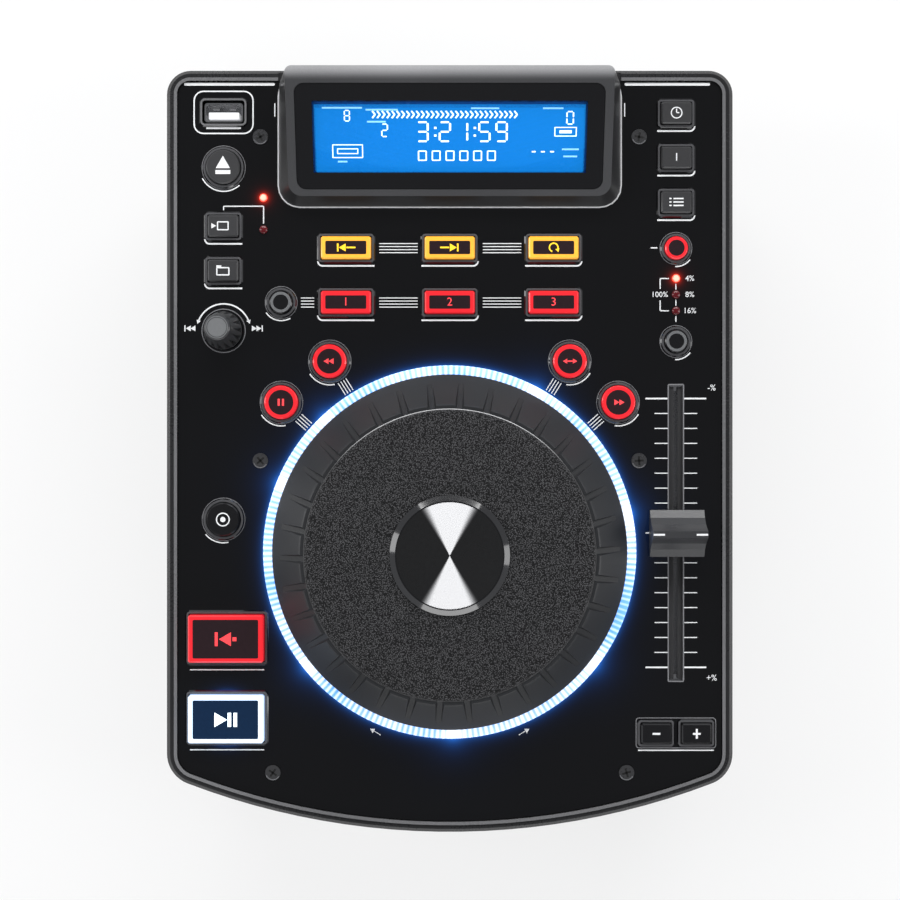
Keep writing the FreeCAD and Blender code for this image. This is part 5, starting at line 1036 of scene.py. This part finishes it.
# Light ring: clear acrylic with moulded teeth on its underside, lit from below by seven white-blue lamps.
RING_LIGHT = finish("clear_ring", (0.3, 0.55, 0.95), 0.2, 500, 0.0, 0.2)
ring_place = node(RING_LIGHT, "ShaderNodeTexCoord")
ring_move = node(RING_LIGHT, "ShaderNodeMapping")
ring_move.inputs["Location"].default_value = (-JOG[0] * MM, -JOG[1] * MM, 0)
ring_turn = node(RING_LIGHT, "ShaderNodeTexGradient", gradient_type="RADIAL")
ring_teeth = node(RING_LIGHT, "ShaderNodeMath", operation="MULTIPLY")
RING_TEETH = 210
ring_teeth.inputs[1].default_value = RING_TEETH * 2 * pi
ring_wave = node(RING_LIGHT, "ShaderNodeMath", operation="SINE")
ring_noise = node(RING_LIGHT, "ShaderNodeTexNoise")
ring_noise.inputs["Scale"].default_value = 45
ring_noise.inputs["Detail"].default_value = 4
ring_sum = node(RING_LIGHT, "ShaderNodeMath", operation="MULTIPLY_ADD")
ring_sum.inputs[1].default_value = 0.22
ring_range = graded(RING_LIGHT, start=0.25, end=0.85)
ring_tint = node(RING_LIGHT, "ShaderNodeMix", data_type="RGBA")
ring_tint.inputs["A"].default_value = (0.02, 0.22, 0.75, 1)
ring_tint.inputs["B"].default_value = (1.0, 1.0, 1.0, 1)
ring_near = spill(RING_LIGHT, [(JOG[0] + lamp_reach * cos(a), JOG[1] + lamp_reach * sin(a), 0, 9, 1.1)
                              for a in RING_LAMPS], (1, 1, 1))
ring_split = node(RING_LIGHT, "ShaderNodeSeparateXYZ")
ring_add = node(RING_LIGHT, "ShaderNodeMath", operation="ADD")
link(RING_LIGHT, ring_place.outputs["Object"], ring_move.inputs["Vector"])
link(RING_LIGHT, ring_move.outputs[0], ring_turn.inputs["Vector"])
link(RING_LIGHT, ring_place.outputs["Object"], ring_noise.inputs["Vector"])
link(RING_LIGHT, ring_turn.outputs["Fac"], ring_teeth.inputs[0])
link(RING_LIGHT, ring_teeth.outputs[0], ring_wave.inputs[0])
link(RING_LIGHT, ring_wave.outputs[0], ring_sum.inputs[0])
link(RING_LIGHT, ring_noise.outputs["Fac"], ring_sum.inputs[2])
link(RING_LIGHT, ring_near, ring_split.inputs[0])
link(RING_LIGHT, ring_sum.outputs[0], ring_add.inputs[0])
link(RING_LIGHT, ring_split.outputs["X"], ring_add.inputs[1])
link(RING_LIGHT, ring_add.outputs[0], ring_range.inputs["Value"])
link(RING_LIGHT, ring_range.outputs[0], ring_tint.inputs["Factor"])
link(RING_LIGHT, ring_tint.outputs["Result"], shader_of(RING_LIGHT).inputs["Emission Color"])
shader_of(RING_LIGHT).inputs["Emission Strength"].default_value = 1.1
paint(["light_ring"], RING_LIGHT)

# Track knob: fluted rubber-touch knob with a flat disc let into its top.
KNOB_PLASTIC = finish("knob_plastic", (0.035, 0.036, 0.038), 0.34, 1200, 0.12)
paint(["track_knob"], KNOB_PLASTIC)
knob_top = Ink(top("track_knob"))
knob_top.disc(*KNOB, 3.5, sides=48).disc(*KNOB, 4.1, line=0.35, sides=48)
knob_top.done("knob_disc", finish("knob_disc", (0.17, 0.175, 0.18), 0.4, 1200, 0.1, 0.3), "track_turn", 0.08)

# Pitch fader: saddle-shaped cap with a white line on each shoulder, over a slot closed by brush strips.
paint(["fader_cap"], finish("fader_plastic", (0.042, 0.043, 0.046), 0.36, 1500, 0.15))
cap_low, cap_high = (Vector(corner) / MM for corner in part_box("fader_cap"))
fader_line = Ink(cap_high.z)
for side in (-1, 1):
    fader_line.block(FADER[0] + side * 7.9, FADER[1], 4.2, 0.7)
fader_line.done("fader_line", WHITE_INK_AND_GLINT, "fader", 0.04)
brush = Ink(PANEL - 1.4)
for side in (-1, 1):
    brush.block(FADER[0] + side * 1.6, FADER[1], 1.7, 109.6)
brush.done("fader_brush", finish("brush_hair", (0.03, 0.03, 0.032), 0.9, 3200, 1.0, 0.8), "case", 0.5)

# Drive and boards: plated steel tray, turned shafts, bronze bush and green boards, seen through the slot.
paint(["jog_shaft", "track_shaft", "fader_lever", "drive_deck", "computer_socket", "fader_body", "spindle_motor"],
      STEEL)
paint(["jog_bush"], finish("bronze", (0.5, 0.33, 0.15), 0.4, metallic=1.0))
paint(["key_board", "main_board"], finish("board_lacquer", (0.01, 0.07, 0.03), 0.35))
MOULDED = finish("moulded_black", (0.015, 0.015, 0.016), 0.38, 1300, 0.12)
paint(["turntable", "laser_sled", "track_encoder", "remote_jack", "power_inlet", "power_rocker"], MOULDED)

# Rear sockets: gilt phono sleeves with coloured insulating rings, and white marks over each socket.
paint(["phono_sockets"], finish("phono_body", (0.02, 0.02, 0.021), 0.4, 1200, 0.1))
REAR_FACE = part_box("bottom_chassis")[1][1] / MM
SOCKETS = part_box("phono_sockets")
phono_end = SOCKETS[1][1] / MM
phono_x = middle("phono_sockets")[0]
SOCKET_LEVEL = 22
PHONO_PITCH = 14
GILT = finish("gilt", (0.8, 0.6, 0.25), 0.25, 700, 0.05, 0.2, metallic=1.0)
RINGS = {"left": (0.75, 0.76, 0.78), "digital": (0.02, 0.02, 0.022), "right": (0.6, 0.02, 0.02)}


def upright_ring(name, x, y, level, outer, inner, length, material):
    """A tube that lies along Y, made by spinning its section."""
    tube = bmesh.new()
    corners = [(inner, 0), (outer, 0), (outer, length), (inner, length)]
    section = tube.faces.new([tube.verts.new((reach, along, 0)) for reach, along in corners])
    bmesh.ops.spin(tube, geom=[section], cent=(0, 0, 0), axis=(0, 1, 0), angle=2 * pi, steps=40, use_merge=True)
    bmesh.ops.delete(tube, geom=[section], context="FACES_ONLY")
    bmesh.ops.remove_doubles(tube, verts=tube.verts, dist=0.0001)
    bmesh.ops.translate(tube, vec=(x, y, level), verts=tube.verts)
    bmesh.ops.scale(tube, vec=(MM, MM, MM), verts=tube.verts)
    return keep(tube, name, material, smooth=40, body="case")


for step, (side, color) in enumerate(RINGS.items()):
    x = phono_x + (step - 1) * PHONO_PITCH
    insulator = finish(f"phono_{side}", color, 0.4, 900, 0.05, 0.15)
    upright_ring(f"phono_ring_{side}", x, phono_end - 2.2, SOCKET_LEVEL, 3.28, 1.62, 1.6, insulator)
    upright_ring(f"phono_sleeve_{side}", x, phono_end - 8.4, SOCKET_LEVEL, 4.22, 4.15, 8.3, GILT)

rear_marks = Ink(0)
for x, width in ((phono_x, 34), (-24, 7), (6, 9), (40, 8), (70, 14)):
    rear_marks.block(x, 33.6, width, 0.5)
    rear_marks.block(x, 35.0, width * 0.4, 1.0, corner=0.2)
upright_face = Matrix.Translation((0, REAR_FACE * MM, 0)) @ Matrix.Rotation(pi / 2, 4, "X")
rear_marks.done("rear_marks", WHITE_INK_AND_GLINT, "case", -0.04, upright_face)
rocker_mark = Ink(0)
rocker_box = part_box("power_rocker")
rocker_mark.disc(middle("power_rocker")[0] - 4, SOCKET_LEVEL, 1.6, line=0.4)
rocker_mark.block(middle("power_rocker")[0] + 4, SOCKET_LEVEL, 0.5, 3.2)
rocker_face = Matrix.Translation((0, rocker_box[1][1] - 0.9 * MM, 0)) @ Matrix.Rotation(pi / 2, 4, "X")
rocker_mark.done("rocker_mark", WHITE_INK_AND_GLINT, "rocker", -0.06, rocker_face)

# Rating label under the chassis: a blank silver foil with a printed border and plain rules.
LABEL_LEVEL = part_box("bottom_chassis")[0][2] / MM
label = Ink(LABEL_LEVEL - 0.03)
label.block(0, 20, 70, 34, corner=2)
label.done("rating_label", finish("label_foil", (0.5, 0.5, 0.51), 0.4, 600, 0.05, 0.1, metallic=0.5), "case", 0.02)
rules = Ink(LABEL_LEVEL - 0.06)
rules.block(0, 20, 66, 30, corner=1.5, line=0.4)
for step in range(5):
    rules.block(0, 29 - step * 4.5, 52 - step * 4, 0.6)
rules.done("label_rules", MOULDED, "case", 0.02)
